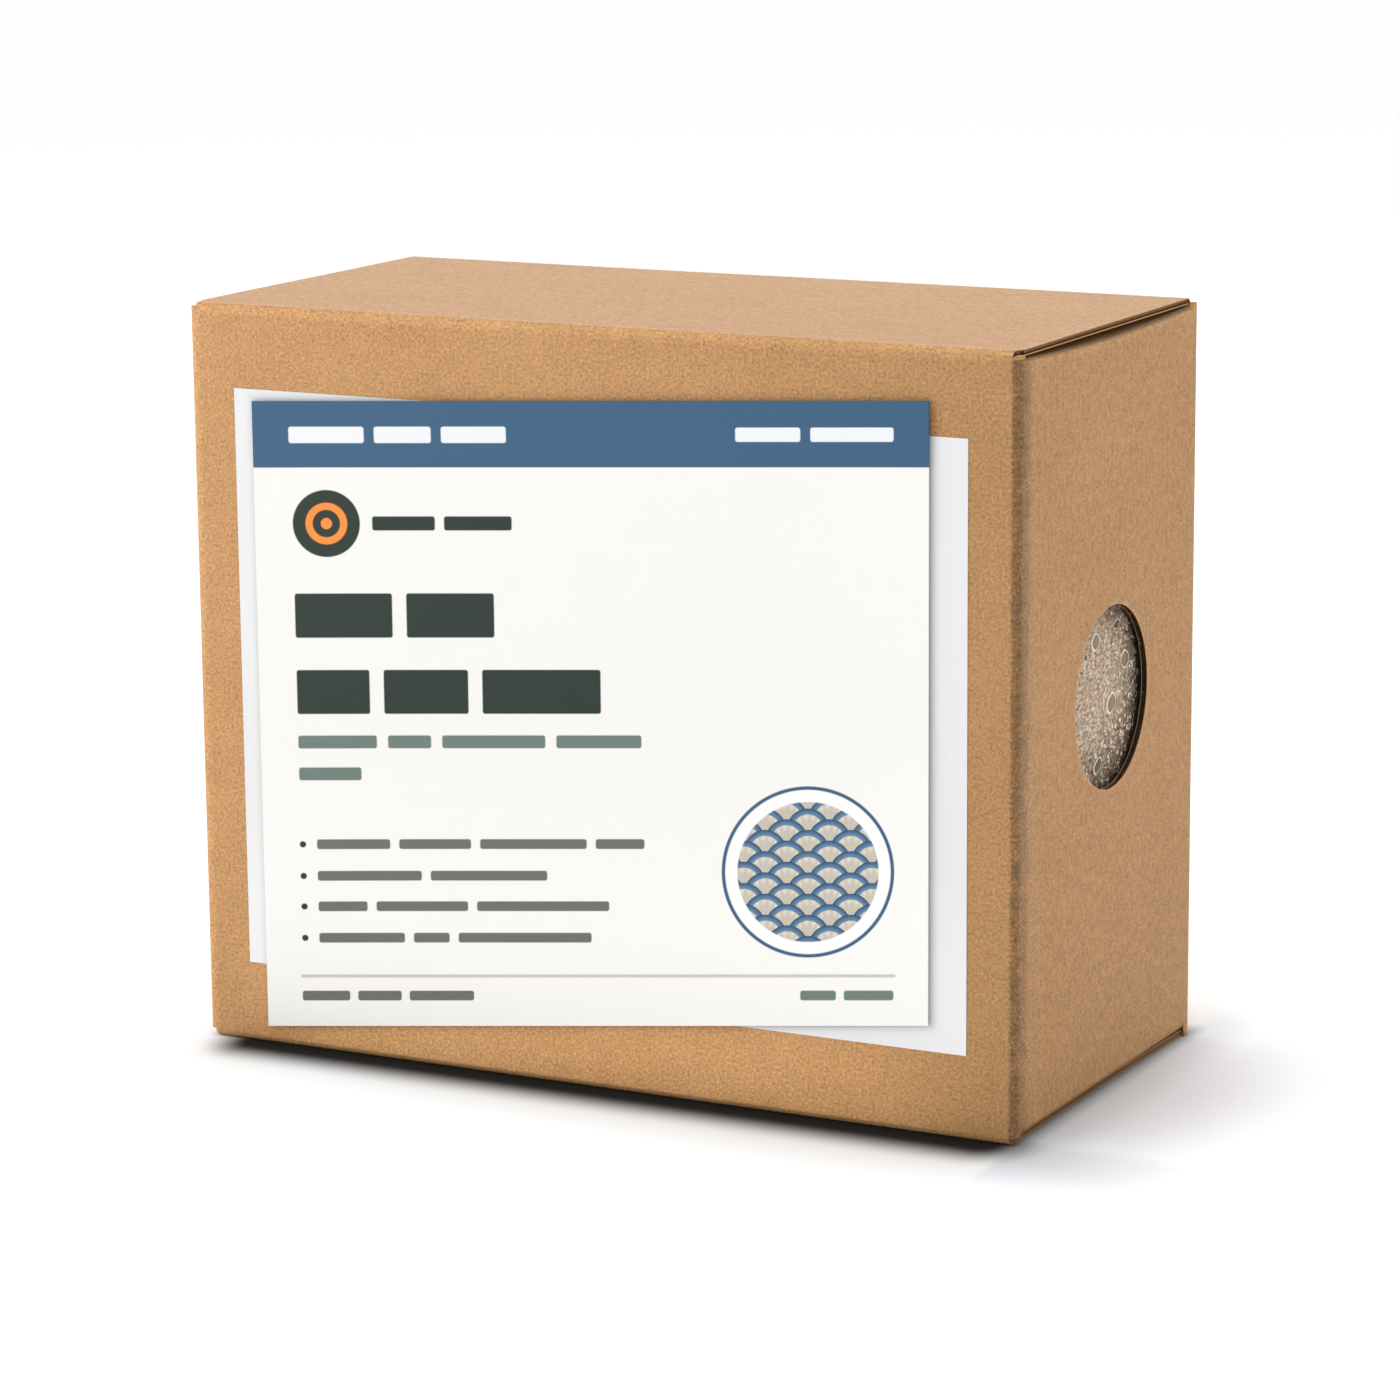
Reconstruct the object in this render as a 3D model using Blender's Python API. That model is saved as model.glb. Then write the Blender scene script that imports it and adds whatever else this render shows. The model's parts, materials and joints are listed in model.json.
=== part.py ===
"""Boxed oyster mushroom grow kit: a brick of mycelium and sawdust, in a clear film bag, in a kraft carton.

Metres, +Z up. The origin is the centre of the carton's base. The front faces -Y and carries two paper labels.
The end at +X has the round fruiting hole. The carton and its lid are one folded blank of 1.5 mm board; the lid
turns on the crease along the front's top edge, and its tuck slides in along the inside of the back wall.
"""

import math

import bmesh
import bpy
from mathutils import Vector, noise

MM = 0.001

# Carton
WIDTH = 216 * MM
DEPTH = 106 * MM
HEIGHT = 181 * MM
BOARD = 1.5 * MM
FOLD = 2.0 * MM
GAP = 0.3 * MM
FOLD_STEPS = 5

HALF_W = WIDTH / 2
HALF_D = DEPTH / 2
FLAT_X = HALF_W - FOLD
FLAT_Y = HALF_D - FOLD
TUCKED_Y = HALF_D - BOARD - GAP
LOW_FOLD = BOARD + GAP + FOLD
HIGH_FOLD = HEIGHT - LOW_FOLD
FRONT_TOP = HEIGHT - FOLD - 0.8 * MM
BACK_TOP = HEIGHT - 1.0 * MM
BACK_BOTTOM = 0.4 * MM
SEAM_X = HALF_W - GAP

TAB_LOW = 8 * MM
TAB_HIGH = 173 * MM
TAB_TAPER = 8 * MM
TAB_END_X = FLAT_X - 30 * MM

FLAP_LENGTH = 60 * MM
FLAP_FRONT = -50 * MM
FLAP_BACK = 48.5 * MM
FLAP_TAPER = 2.5 * MM

TUCK_DEPTH = 18 * MM
TUCK_END_X = 98 * MM
BASE_BACK_X = 105 * MM

# Lid
LID_FRONT_X = 107 * MM
LID_BACK_X = 106.4 * MM
LID_BACK_Y = HALF_D - 3.9 * MM
LID_TUCK_TURN = math.radians(97)
HINGE_INSET = 0.43 * MM
HINGE = Vector((0, -HALF_D + HINGE_INSET, HEIGHT - HINGE_INSET))

# Fruiting hole in the end at +X
HOLE_RADIUS = 21.6 * MM
HOLE_Y = 1.0 * MM
HOLE_Z = 93.8 * MM
HOLE_SIDES = 48

# Film bag and its block
FILM = 0.4 * MM
BAG_HALF_X = 103.0 * MM
BAG_HALF_Y = 49.3 * MM
BAG_BOTTOM = LOW_FOLD - FOLD + BOARD + GAP
BAG_SHOULDER = 144 * MM
BAG_ROUND = 14 * MM
BAG_CORNER = 12 * MM
BAG_FOOT = 9 * MM
BAG_SIDES = 8
ROOF_TOP = 161 * MM
NECK_HALF_X = 88 * MM
NECK_HALF = 1.2 * MM
NECK_BEND = 3.5 * MM
NECK_LENGTH = 36 * MM

BLOCK_PLAY = 0.5 * MM
BLOCK_TOP = 156 * MM
BLOCK_ROUND = 15 * MM
BLOCK_STEPS = 13
LUMP = 1.1 * MM
LUMP_SCALE = 42

# Paper on the front
BACKING_HALF_X = 95.5 * MM
BACKING_BOTTOM = 20 * MM
BACKING_TOP = 161 * MM
BACKING_PAPER = 0.3 * MM
CARD_LEFT = -90.0 * MM
CARD_RIGHT = 86.5 * MM
CARD_LEFT_BOTTOM = 4.7 * MM
CARD_LEFT_TOP = 158.3 * MM
CARD_RIGHT_BOTTOM = 26.3 * MM
CARD_RIGHT_TOP = 169.0 * MM
CARD_PAPER = 0.4 * MM

LEFT = Vector((-1, 0, 0))
RIGHT = Vector((1, 0, 0))
FORWARD = Vector((0, -1, 0))
BACKWARD = Vector((0, 1, 0))
UP = Vector((0, 0, 1))
DOWN = Vector((0, 0, -1))


def material(name, colour, roughness, alpha=1.0):
    made = bpy.data.materials.new(name)
    made.use_nodes = True
    shader = made.node_tree.nodes["Principled BSDF"]
    shader.inputs["Base Color"].default_value = (*colour, 1.0)
    shader.inputs["Roughness"].default_value = roughness
    shader.inputs["Metallic"].default_value = 0.0
    shader.inputs["Alpha"].default_value = alpha
    return made


def add_object(name, mesh, finish):
    made = bpy.data.objects.new(name, mesh)
    made.data.materials.append(finish)
    bpy.context.scene.collection.objects.link(made)
    return made


def mesh_from(name, shape):
    mesh = bpy.data.meshes.new(name)
    shape.to_mesh(mesh)
    shape.free()
    return mesh


class Blank:
    """Folded board, kept as its outer face: each corner has its place and the way out of the board there."""

    def __init__(self):
        self.places = []
        self.ways_out = []
        self.faces = []
        self.found = {}

    def corner(self, place, way_out):
        key = tuple(round(value / (0.01 * MM)) for value in place)
        if key not in self.found:
            self.found[key] = len(self.places)
            self.places.append(place.copy())
            self.ways_out.append(way_out.copy())
        return self.found[key]

    def face(self, places, ways_out):
        """A face whose corners run either way round; it is turned to face out."""
        corners = [self.corner(place, way) for place, way in zip(places, ways_out)]
        turned = (places[1] - places[0]).cross(places[2] - places[0])
        if turned.dot(ways_out[0]) < 0:
            corners.reverse()
        self.faces.append(corners)

    def grid(self, rows, way_out):
        """A flat panel from rows of places, each row with as many places as the next."""
        for near, far in zip(rows, rows[1:]):
            for i in range(len(near) - 1):
                self.face([near[i], near[i + 1], far[i + 1], far[i]], [way_out] * 4)

    def crease(self, edge, way_out, ahead, turn=math.pi / 2):
        """Folds the board inward over the edge, a row of places. Gives the far edge and the two new directions."""
        rows = []
        for step in range(FOLD_STEPS + 1):
            angle = turn * step / FOLD_STEPS
            way = way_out * math.cos(angle) + ahead * math.sin(angle)
            rows.append(([place - way_out * FOLD + way * FOLD for place in edge], way))
        for (near, way_near), (far, way_far) in zip(rows, rows[1:]):
            for i in range(len(edge) - 1):
                corners = [near[i], near[i + 1], far[i + 1], far[i]]
                self.face(corners, [way_near, way_near, way_far, way_far])
        heading = ahead * math.cos(turn) - way_out * math.sin(turn)
        return rows[-1][0], rows[-1][1], heading

    def mesh(self, name, origin=Vector((0, 0, 0))):
        """The board at its thickness, inward of the outer face, with its cut edges."""
        shape = bmesh.new()
        outer = [shape.verts.new(place - origin) for place in self.places]
        inner = []
        for place, way in zip(self.places, self.ways_out):
            inner.append(shape.verts.new(place - way * BOARD - origin))
        edges = set()
        for corners in self.faces:
            shape.faces.new([outer[i] for i in corners])
            shape.faces.new([inner[i] for i in reversed(corners)])
            edges.update(zip(corners, corners[1:] + corners[:1]))
        for i, j in edges:
            if (j, i) not in edges:
                shape.faces.new([outer[j], outer[i], inner[i], inner[j]])
        return mesh_from(name, shape)


def row(places, x=None, y=None, z=None):
    """Places along one axis, with the other two given; the axis left out takes each value in turn."""
    made = []
    for value in places:
        made.append(Vector([value if given is None else given for given in (x, y, z)]))
    return made


def dust_flap(blank, side, height, heading):
    """A dust flap folded in from an end wall, its free corners tapered."""
    way_out = RIGHT * side
    edge = row([FLAP_FRONT, FLAP_BACK], x=HALF_W * side, z=height)
    folded, way, _ = blank.crease(edge, way_out, heading)
    z = folded[0].z
    taper_x = (FLAT_X - 4 * FLAP_TAPER) * side
    taper = row([FLAP_FRONT + FLAP_TAPER, FLAP_BACK - FLAP_TAPER], x=taper_x, z=z)
    end_x = (FLAT_X - FLAP_LENGTH) * side
    end = row([FLAP_FRONT + 2 * FLAP_TAPER, FLAP_BACK - 2 * FLAP_TAPER], x=end_x, z=z)
    blank.grid([folded, taper, end], way)


def carton_mesh():
    """Four walls with the glue tab, the base with its tuck, and the dust flaps: one folded blank."""
    blank = Blank()
    heights = [LOW_FOLD, TAB_LOW, TAB_HIGH, HIGH_FOLD]

    front_heights = [FOLD, *heights, FRONT_TOP]
    blank.grid([row([-FLAT_X, FLAT_X], y=-HALF_D, z=z) for z in front_heights], FORWARD)

    right_front, _, _ = blank.crease(row(heights, x=FLAT_X, y=-HALF_D), FORWARD, RIGHT)
    right_stops = [FLAP_FRONT, FLAP_BACK, FLAT_Y]
    right_rows = [right_front] + [row(heights, x=HALF_W, y=y) for y in right_stops]
    blank.grid(right_rows, RIGHT)
    back_right, _, _ = blank.crease(right_rows[-1], RIGHT, BACKWARD)

    back_rows = [back_right, row(heights, x=-SEAM_X, y=HALF_D)]
    blank.grid(back_rows, BACKWARD)
    for z, edge_z in ((LOW_FOLD, BACK_BOTTOM), (HIGH_FOLD, BACK_TOP)):
        blank.grid([row([-SEAM_X, FLAT_X], y=HALF_D, z=height) for height in (z, edge_z)], BACKWARD)

    left_front, _, _ = blank.crease(row(heights, x=-FLAT_X, y=-HALF_D), FORWARD, LEFT)
    tab_fold_y = TUCKED_Y - FOLD
    left_stops = [FLAP_FRONT, FLAP_BACK, tab_fold_y]
    left_rows = [left_front] + [row(heights, x=-HALF_W, y=y) for y in left_stops]
    blank.grid(left_rows, LEFT)

    tab_edge = left_rows[-1][1:3]
    tab_fold, tab_way, _ = blank.crease(tab_edge, LEFT, BACKWARD)
    tab_heights = [TAB_LOW + 1.75 * TAB_TAPER, TAB_HIGH - 1.75 * TAB_TAPER]
    tapered = row(tab_heights, x=-FLAT_X + TAB_TAPER, y=TUCKED_Y)
    tab_end = row(tab_heights, x=-TAB_END_X, y=TUCKED_Y)
    blank.grid([tab_fold, tapered, tab_end], tab_way)

    base_fold, base_way, base_heading = blank.crease(
        row([-FLAT_X, FLAT_X], y=-HALF_D, z=FOLD), FORWARD, DOWN
    )
    base_back = row([-BASE_BACK_X, BASE_BACK_X], y=TUCKED_Y - FOLD, z=0)
    blank.grid([base_fold, base_back], base_way)
    tuck_fold, tuck_way, tuck_heading = blank.crease(base_back, base_way, base_heading)
    tuck_end = row([-TUCK_END_X, TUCK_END_X], y=TUCKED_Y, z=tuck_fold[0].z + tuck_heading.z * TUCK_DEPTH)
    blank.grid([tuck_fold, tuck_end], tuck_way)

    for side in (-1, 1):
        dust_flap(blank, side, LOW_FOLD, DOWN)
        dust_flap(blank, side, HIGH_FOLD, UP)
    return blank.mesh("carton")


def hole_cutter():
    """A bar through the end wall only, hidden from the model."""
    shape = bmesh.new()
    reach = 20 * MM
    bmesh.ops.create_cone(
        shape, segments=HOLE_SIDES, cap_ends=True, radius1=HOLE_RADIUS, radius2=HOLE_RADIUS, depth=reach
    )
    cutter = bpy.data.objects.new("hole_cutter", mesh_from("hole_cutter", shape))
    bpy.context.scene.collection.objects.link(cutter)
    cutter.rotation_euler = (0, math.pi / 2, 0)
    cutter.location = (HALF_W, HOLE_Y, HOLE_Z)
    cutter.hide_render = True
    cutter.display_type = "WIRE"
    return cutter


def add_carton():
    kraft = material("kraft_board", (0.58, 0.35, 0.15), 0.9)
    carton = add_object("carton", carton_mesh(), kraft)
    cut = carton.modifiers.new("fruiting_hole", "BOOLEAN")
    cut.operation = "DIFFERENCE"
    cut.solver = "EXACT"
    cut.object = hole_cutter()


def add_lid():
    """The lid panel with its front crease and its tuck, about the hinge on the front's top edge."""
    blank = Blank()
    front_edge = row([-LID_FRONT_X, LID_FRONT_X], y=-HALF_D, z=HEIGHT - FOLD)
    lid_front, lid_way, lid_heading = blank.crease(front_edge, FORWARD, UP)
    lid_back = row([-LID_BACK_X, LID_BACK_X], y=LID_BACK_Y, z=HEIGHT)
    blank.grid([lid_front, lid_back], lid_way)
    tuck_fold, tuck_way, tuck_heading = blank.crease(lid_back, lid_way, lid_heading, LID_TUCK_TURN)
    tuck_end = []
    for side, place in zip((-1, 1), tuck_fold):
        end = place + tuck_heading * TUCK_DEPTH
        end.x = TUCK_END_X * side
        tuck_end.append(end)
    blank.grid([tuck_fold, tuck_end], tuck_way)
    kraft = material("kraft_board_lid", (0.62, 0.39, 0.18), 0.9)
    lid = add_object("lid", blank.mesh("lid", HINGE), kraft)
    lid.location = HINGE


def rounded_ring(half_x, half_y, corner, place):
    """Places round a rectangle with round corners; place turns its two coordinates into a point."""
    ring = []
    for quarter in range(4):
        for step in range(BAG_SIDES):
            angle = math.pi / 2 * (quarter + step / (BAG_SIDES - 1))
            centre_x = (half_x - corner) * (1 if quarter in (0, 3) else -1)
            centre_y = (half_y - corner) * (1 if quarter in (0, 1) else -1)
            across = centre_x + corner * math.cos(angle)
            deep = centre_y + corner * math.sin(angle)
            ring.append(place(across, deep))
    return ring


def level_ring(shrink, height, corner):
    """A level ring of the bag, taken in by shrink on every side."""
    return rounded_ring(
        BAG_HALF_X - shrink,
        BAG_HALF_Y - shrink,
        max(corner - shrink / 2, 2 * MM),
        lambda across, deep: Vector((across, deep, height)),
    )


def neck_ring(middle, thick_way, half_x=NECK_HALF_X, half=NECK_HALF):
    """A flat ring across the folded neck."""
    return rounded_ring(
        half_x,
        half,
        half * 0.98,
        lambda across, deep: Vector((across, 0, 0)) + middle + thick_way * deep,
    )


def bag_rings():
    rings = []
    for step in range(4):
        angle = math.pi / 2 * step / 3
        shrink = BAG_FOOT * (1 - math.sin(angle))
        rings.append(level_ring(shrink, BAG_BOTTOM + BAG_FOOT * (1 - math.cos(angle)), BAG_CORNER))
    for height in (50 * MM, 97 * MM):
        rings.append(level_ring(0, height, BAG_CORNER))
    for step in range(5):
        angle = math.pi / 2 * step / 4
        shrink = BAG_ROUND * (1 - math.cos(angle))
        rings.append(level_ring(shrink, BAG_SHOULDER + BAG_ROUND * math.sin(angle), BAG_CORNER))

    rings.append(neck_ring(Vector((0, 0, ROOF_TOP)), BACKWARD))
    bend_centre = Vector((0, -NECK_BEND, ROOF_TOP + 2 * MM))
    for step in range(5):
        angle = math.pi / 2 * step / 4
        out = BACKWARD * math.cos(angle) + UP * math.sin(angle)
        rings.append(neck_ring(bend_centre + out * NECK_BEND, out))
    lying = bend_centre + UP * NECK_BEND
    for reach in (NECK_LENGTH / 2, NECK_LENGTH):
        rings.append(neck_ring(lying + FORWARD * reach, UP))
    return rings


def add_bag():
    """Clear film round the block: gusseted foot and shoulders, and a flat neck folded over to the front."""
    shape = bmesh.new()
    rings = []
    for places in bag_rings():
        rings.append([shape.verts.new(place) for place in places])
    shape.faces.new(reversed(rings[0]))
    for low, high in zip(rings, rings[1:]):
        for i in range(len(low)):
            j = (i + 1) % len(low)
            shape.faces.new([low[i], low[j], high[j], high[i]])
    film = material("clear_film", (0.85, 0.85, 0.83), 0.15, alpha=0.35)
    bag = add_object("bag", mesh_from("bag", shape), film)
    wall = bag.modifiers.new("film", "SOLIDIFY")
    wall.thickness = FILM
    wall.offset = -1
    wall.use_even_offset = True
    bag.data.shade_smooth()


def add_block():
    """The brick of sawdust bound by mycelium, with soft corners and low lumps that stay inside the film."""
    half_x = BAG_HALF_X - FILM - BLOCK_PLAY
    half_y = BAG_HALF_Y - FILM - BLOCK_PLAY
    bottom = BAG_BOTTOM + FILM + BLOCK_PLAY
    half = Vector((half_x, half_y, (BLOCK_TOP - bottom) / 2))
    middle = Vector((0, 0, (BLOCK_TOP + bottom) / 2))
    core = half - Vector((BLOCK_ROUND,) * 3)

    shape = bmesh.new()
    bmesh.ops.create_cube(shape, size=2)
    bmesh.ops.subdivide_edges(shape, edges=shape.edges[:], cuts=BLOCK_STEPS - 1, use_grid_fill=True)
    for vert in shape.verts:
        place = Vector([math.sin(value * math.pi / 2) * size for value, size in zip(vert.co, half)])
        inside = Vector([max(-size, min(size, value)) for value, size in zip(place, core)])
        out = (place - inside).normalized()
        lump = LUMP * (0.5 + 0.5 * noise.noise(place * LUMP_SCALE))
        vert.co = middle + inside + out * (BLOCK_ROUND - lump)
    grown = material("mycelium_and_sawdust", (0.36, 0.29, 0.22), 0.85)
    block = add_object("block", mesh_from("block", shape), grown)
    block.data.shade_smooth()


def paper(name, corners, face_y, thickness, finish):
    """A flat sheet on the front: its corners as (x, z), its front face at face_y."""
    shape = bmesh.new()
    front = [shape.verts.new((x, face_y, z)) for x, z in corners]
    sheet = shape.faces.new(front)
    back = bmesh.ops.extrude_face_region(shape, geom=[sheet])["geom"]
    moved = [part for part in back if isinstance(part, bmesh.types.BMVert)]
    bmesh.ops.translate(shape, verts=moved, vec=BACKWARD * thickness)
    bmesh.ops.recalc_face_normals(shape, faces=shape.faces[:])
    add_object(name, mesh_from(name, shape), finish)


def add_labels():
    backing_y = -HALF_D - GAP - BACKING_PAPER
    backing = [
        (-BACKING_HALF_X, BACKING_BOTTOM),
        (BACKING_HALF_X, BACKING_BOTTOM),
        (BACKING_HALF_X, BACKING_TOP),
        (-BACKING_HALF_X, BACKING_TOP),
    ]
    plain = material("plain_paper", (0.80, 0.80, 0.82), 0.6)
    paper("backing_label", backing, backing_y, BACKING_PAPER, plain)

    card = [
        (CARD_LEFT, CARD_LEFT_BOTTOM),
        (CARD_RIGHT, CARD_RIGHT_BOTTOM),
        (CARD_RIGHT, CARD_RIGHT_TOP),
        (CARD_LEFT, CARD_LEFT_TOP),
    ]
    printed = material("printed_paper", (0.95, 0.94, 0.91), 0.5)
    paper("printed_card", card, backing_y - GAP - CARD_PAPER, CARD_PAPER, printed)


def main():
    for old in list(bpy.data.objects):
        bpy.data.objects.remove(old, do_unlink=True)
    add_carton()
    add_lid()
    add_bag()
    add_block()
    add_labels()


main()
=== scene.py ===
"""Oyster mushroom grow kit in its kraft carton, dressed for the render.

The board, the film bag, the grown block, the two papers and the water on the film are built here as detailed
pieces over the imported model. Lengths are in metres, +Z is up, and the front with the papers faces -Y.
"""

import json
import math

import bmesh
import bpy
import numpy as np
from bpy.props import FloatProperty, FloatVectorProperty, IntProperty, PointerProperty
from mathutils import Matrix, Vector, noise


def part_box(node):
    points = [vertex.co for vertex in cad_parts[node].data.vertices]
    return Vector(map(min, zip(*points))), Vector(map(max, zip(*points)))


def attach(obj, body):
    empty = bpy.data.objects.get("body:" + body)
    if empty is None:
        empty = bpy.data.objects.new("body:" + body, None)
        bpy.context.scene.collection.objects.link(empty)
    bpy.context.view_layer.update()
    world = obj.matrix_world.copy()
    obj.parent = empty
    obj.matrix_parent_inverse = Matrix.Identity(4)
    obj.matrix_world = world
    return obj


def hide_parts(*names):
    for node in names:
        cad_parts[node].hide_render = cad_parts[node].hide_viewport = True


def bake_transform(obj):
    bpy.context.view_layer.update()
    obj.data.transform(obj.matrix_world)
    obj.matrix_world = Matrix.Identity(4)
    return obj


bl_info = {
    "name": "Oyster Mushroom Grow Kit",
    "version": (1, 0, 0),
    "blender": (4, 5, 0),
    "location": "3D View > Sidebar > Grow Kit",
    "description": "Builds a boxed mushroom grow kit: folded board, film bag, block, papers and stage",
    "category": "Add Mesh",
}

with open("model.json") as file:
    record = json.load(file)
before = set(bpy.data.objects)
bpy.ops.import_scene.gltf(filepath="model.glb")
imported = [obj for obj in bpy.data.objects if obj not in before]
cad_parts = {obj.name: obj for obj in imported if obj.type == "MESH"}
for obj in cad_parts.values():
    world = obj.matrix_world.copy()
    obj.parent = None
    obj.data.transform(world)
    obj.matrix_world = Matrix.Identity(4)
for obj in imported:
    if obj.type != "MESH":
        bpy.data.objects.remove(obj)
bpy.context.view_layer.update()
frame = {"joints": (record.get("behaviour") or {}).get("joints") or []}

MM = 0.001
CARTON_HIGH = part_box("carton")[1]
LID_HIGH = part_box("lid")[1]
BAG_LOW, BAG_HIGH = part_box("bag")
BLOCK_LOW, BLOCK_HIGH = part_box("block")

# Folded board
HALF_W = CARTON_HIGH.x
HALF_D = CARTON_HIGH.y
HEIGHT = LID_HIGH.z
BOARD = 1.5 * MM
FOLD = 2.0 * MM
GAP = 0.3 * MM
LID_FOLD = 1.6 * MM
FLAT_X = HALF_W - FOLD
FLAT_Y = HALF_D - FOLD
TUCKED_Y = HALF_D - BOARD - GAP
LOW_FOLD = BOARD + GAP + FOLD
HIGH_FOLD = HEIGHT - LOW_FOLD
BACK_TOP = CARTON_HIGH.z
BACK_BOTTOM = 0.4 * MM
SEAM_X = HALF_W - GAP
TAB_LOW, TAB_HIGH, TAB_TAPER = 8 * MM, 173 * MM, 8 * MM
TAB_LENGTH = 30 * MM
FLAP_FRONT, FLAP_BACK = -50 * MM, 48.5 * MM
FLAP_LENGTH, FLAP_TAPER = 60 * MM, 2.5 * MM
TUCK_DEPTH, TUCK_END_X = 18 * MM, 98 * MM
BASE_WIDENS_Y = 10 * MM
BASE_SIDE_X, BASE_BACK_X = 107.2 * MM, 106.1 * MM
LID_FRONT_X, LID_BACK_X = 107 * MM, 106.4 * MM
LID_BACK_Y = HALF_D - 3.9 * MM
LID_TUCK_TURN = math.radians(97)
STRIP_BACK_Y = -48.5 * MM
LID_RUN = HEIGHT - LID_FOLD + LID_FOLD * math.pi / 2 + HALF_D - LID_FOLD
HOLE_RADIUS = 21.6 * MM
HOLE_Y, HOLE_Z = 1.0 * MM, 93.8 * MM
HOLE_SQUARE = 30 * MM
HOLE_STEPS = 24
PANEL_STEP = 2.5 * MM
LINER = 0.24 * MM
GROOVE = 0.55 * MM
PRESSED_HALF_Y, PRESSED_TALL = 50 * MM, 12 * MM
PRESSED_RIGHT, PRESSED_LEFT = 1.15 * MM, 0.8 * MM

# Ends of the upright creases beside the lid and the base, as pairs of place along and height in mm
TOP_ROUND, FOOT_ROUND, ROUND_LONG = 1.4 * MM, 0.4 * MM, 3 * MM
COLUMN_FOOT = 1.9 * MM
COLUMN_FRONT_TOP = ((-53.0, 179.7), (-51.0, 179.9), (-50.4, 179.6), (-50.0, 179.0))
COLUMN_BACK_TOP = (
    (48.5, 177.9),
    (49.4, 178.5),
    (50.2, 178.9),
    (51.0, 179.8),
    (51.5, 179.7),
    (52.1, 179.2),
    (HALF_D / MM, (BACK_TOP - TOP_ROUND) / MM),
)
COLUMN_BACK_FOOT = (
    (48.5, 3.0),
    (48.9, 1.6),
    (49.3, 0.2),
    (51.9, 0.3),
    (HALF_D / MM, (BACK_BOTTOM + FOOT_ROUND) / MM),
)

# Painted shade over crushed board across the upright crease at the right of the front, by its way round from
# the front face in mm
CORNER_SHADE_AND_CRUSH = (
    (0.2, 0),
    (0.8, -0.5),
    (1.3, -0.9),
    (1.9, -1.0),
    (2.6, -1.0),
    (3.3, -0.83),
    (4.4, -0.7),
    (5.4, -0.64),
    (6.4, -0.56),
    (7.4, -0.48),
    (8.4, -0.2),
    (9.0, 0),
)
CORNER_SHADE_BY_HEIGHT = ((20, 0.86), (90, 0.92), (150, 1.0), (178, 1.1))
# Painted highlight along the lid's front crease, with a little painted shade just below it, by height in mm
LID_CREASE_LIGHT = ((177.6, -0.25), (178.6, 0.5), (180.0, 0.95), (181.0, 0.5))
# A paler ring round the fruiting hole on the right face, by distance out from its rim in mm
HOLE_RIM_PALE = ((0, 1.0), (0.4, 0.6), (1.1, 0))

# Paper on the front
BACKING_HALF_X, BACKING_BOTTOM, BACKING_TOP = 95.5 * MM, 20 * MM, 161 * MM
CARD_LEFT, CARD_RIGHT = -90.0 * MM, 86.5 * MM
CARD_LEFT_Z = (4.7 * MM, 158.3 * MM)
CARD_RIGHT_Z = (26.3 * MM, 169.0 * MM)
CARD_FACE_Y = -54.3 * MM
BACKING_THICK, CARD_THICK = 0.18 * MM, 0.32 * MM
BACKING_LIFT, CARD_LIFT, CARD_CURL = 0.02 * MM, 0.30 * MM, 0.45 * MM
CARD_STEPS = 64

# Block and film bag
BLOCK_ROUND, BLOCK_CUTS = 15 * MM, 95
BAG_SHOULDER, BAG_ROUND, BAG_FOOT, BAG_CORNER = 144 * MM, 14 * MM, 9 * MM, 12 * MM
BULGE, BULGE_REACH = 2.3 * MM, 30 * MM
NECK_Z, NECK_HALF_X, NECK_HALF = 161 * MM, 88 * MM, 1.0 * MM
NECK_BEND, NECK_BEND_Z, NECK_LENGTH = 3.5 * MM, 163 * MM, 36 * MM
NECK_START = NECK_Z - 0.1 * MM
CRIMP_Y = -33.5 * MM

FORWARD = Vector((0, -1, 0))
BACKWARD = Vector((0, 1, 0))
UP = Vector((0, 0, 1))
DOWN = Vector((0, 0, -1))


def colour(name, text, value):
    """A colour that a user would change."""
    return FloatVectorProperty(
        name=name, description=text, default=value, size=3, min=0.0, max=1.0, subtype="COLOR"
    )


def length(name, text, value, least, most):
    """A length that a user would change."""
    return FloatProperty(
        name=name, description=text, default=value, min=least, max=most, subtype="DISTANCE", unit="LENGTH"
    )


def power(name, text, value):
    """The power of one soft light."""
    return FloatProperty(name=name, description=text, default=value, min=0.0, unit="POWER")


class GrowKitBoard(bpy.types.PropertyGroup):
    """The folded corrugated board."""

    outside: colour("Outside", "Kraft liner on the outside of the carton", (0.395, 0.214, 0.0875))
    inside: colour("Inside", "Kraft liner on the inside of the carton", (0.37, 0.225, 0.115))
    flute: colour("Flute", "Fluted paper seen at the cut edges", (0.20, 0.105, 0.045))
    pitch: length("Flute pitch", "Distance from one flute to the next", 3.2 * MM, 1 * MM, 8 * MM)
    settle: length("Settling", "How far the panels sink in between creases", 0.22 * MM, 0.0, 1 * MM)


class GrowKitPapers(bpy.types.PropertyGroup):
    """The backing label and the printed card."""

    backing: colour("Backing", "Plain label under the card", (0.59, 0.59, 0.598))
    card: colour("Card", "Ground of the printed card", (0.668, 0.662, 0.636))
    band: colour("Band", "Band along the card's top edge and the ring", (0.022, 0.077, 0.152))
    ink: colour("Ink", "Dark ink of the title bars and the disc", (0.006, 0.016, 0.011))
    soft_ink: colour("Soft ink", "Grey-green ink of the small bars", (0.105, 0.15, 0.13))
    accent: colour("Accent", "Orange of the mark in the disc", (0.72, 0.21, 0.024))
    rule: colour("Rule", "Thin beige rule over the footer", (0.45, 0.41, 0.335))


class GrowKitGrowth(bpy.types.PropertyGroup):
    """The block, its film and the water on the film."""

    mycelium: colour("Mycelium", "Grown white threads on the block", (0.74, 0.70, 0.62))
    sawdust: colour("Sawdust", "Bare sawdust between the threads", (0.23, 0.135, 0.07))
    film_haze: FloatProperty(
        name="Film haze",
        description="How much the film hides of what lies behind it",
        default=0.16,
        min=0.0,
        max=1.0,
        subtype="FACTOR",
    )
    mist_count: IntProperty(
        name="Mist drops", description="Tiny drops behind the fruiting hole", default=1500, min=0, max=8000
    )


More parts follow.
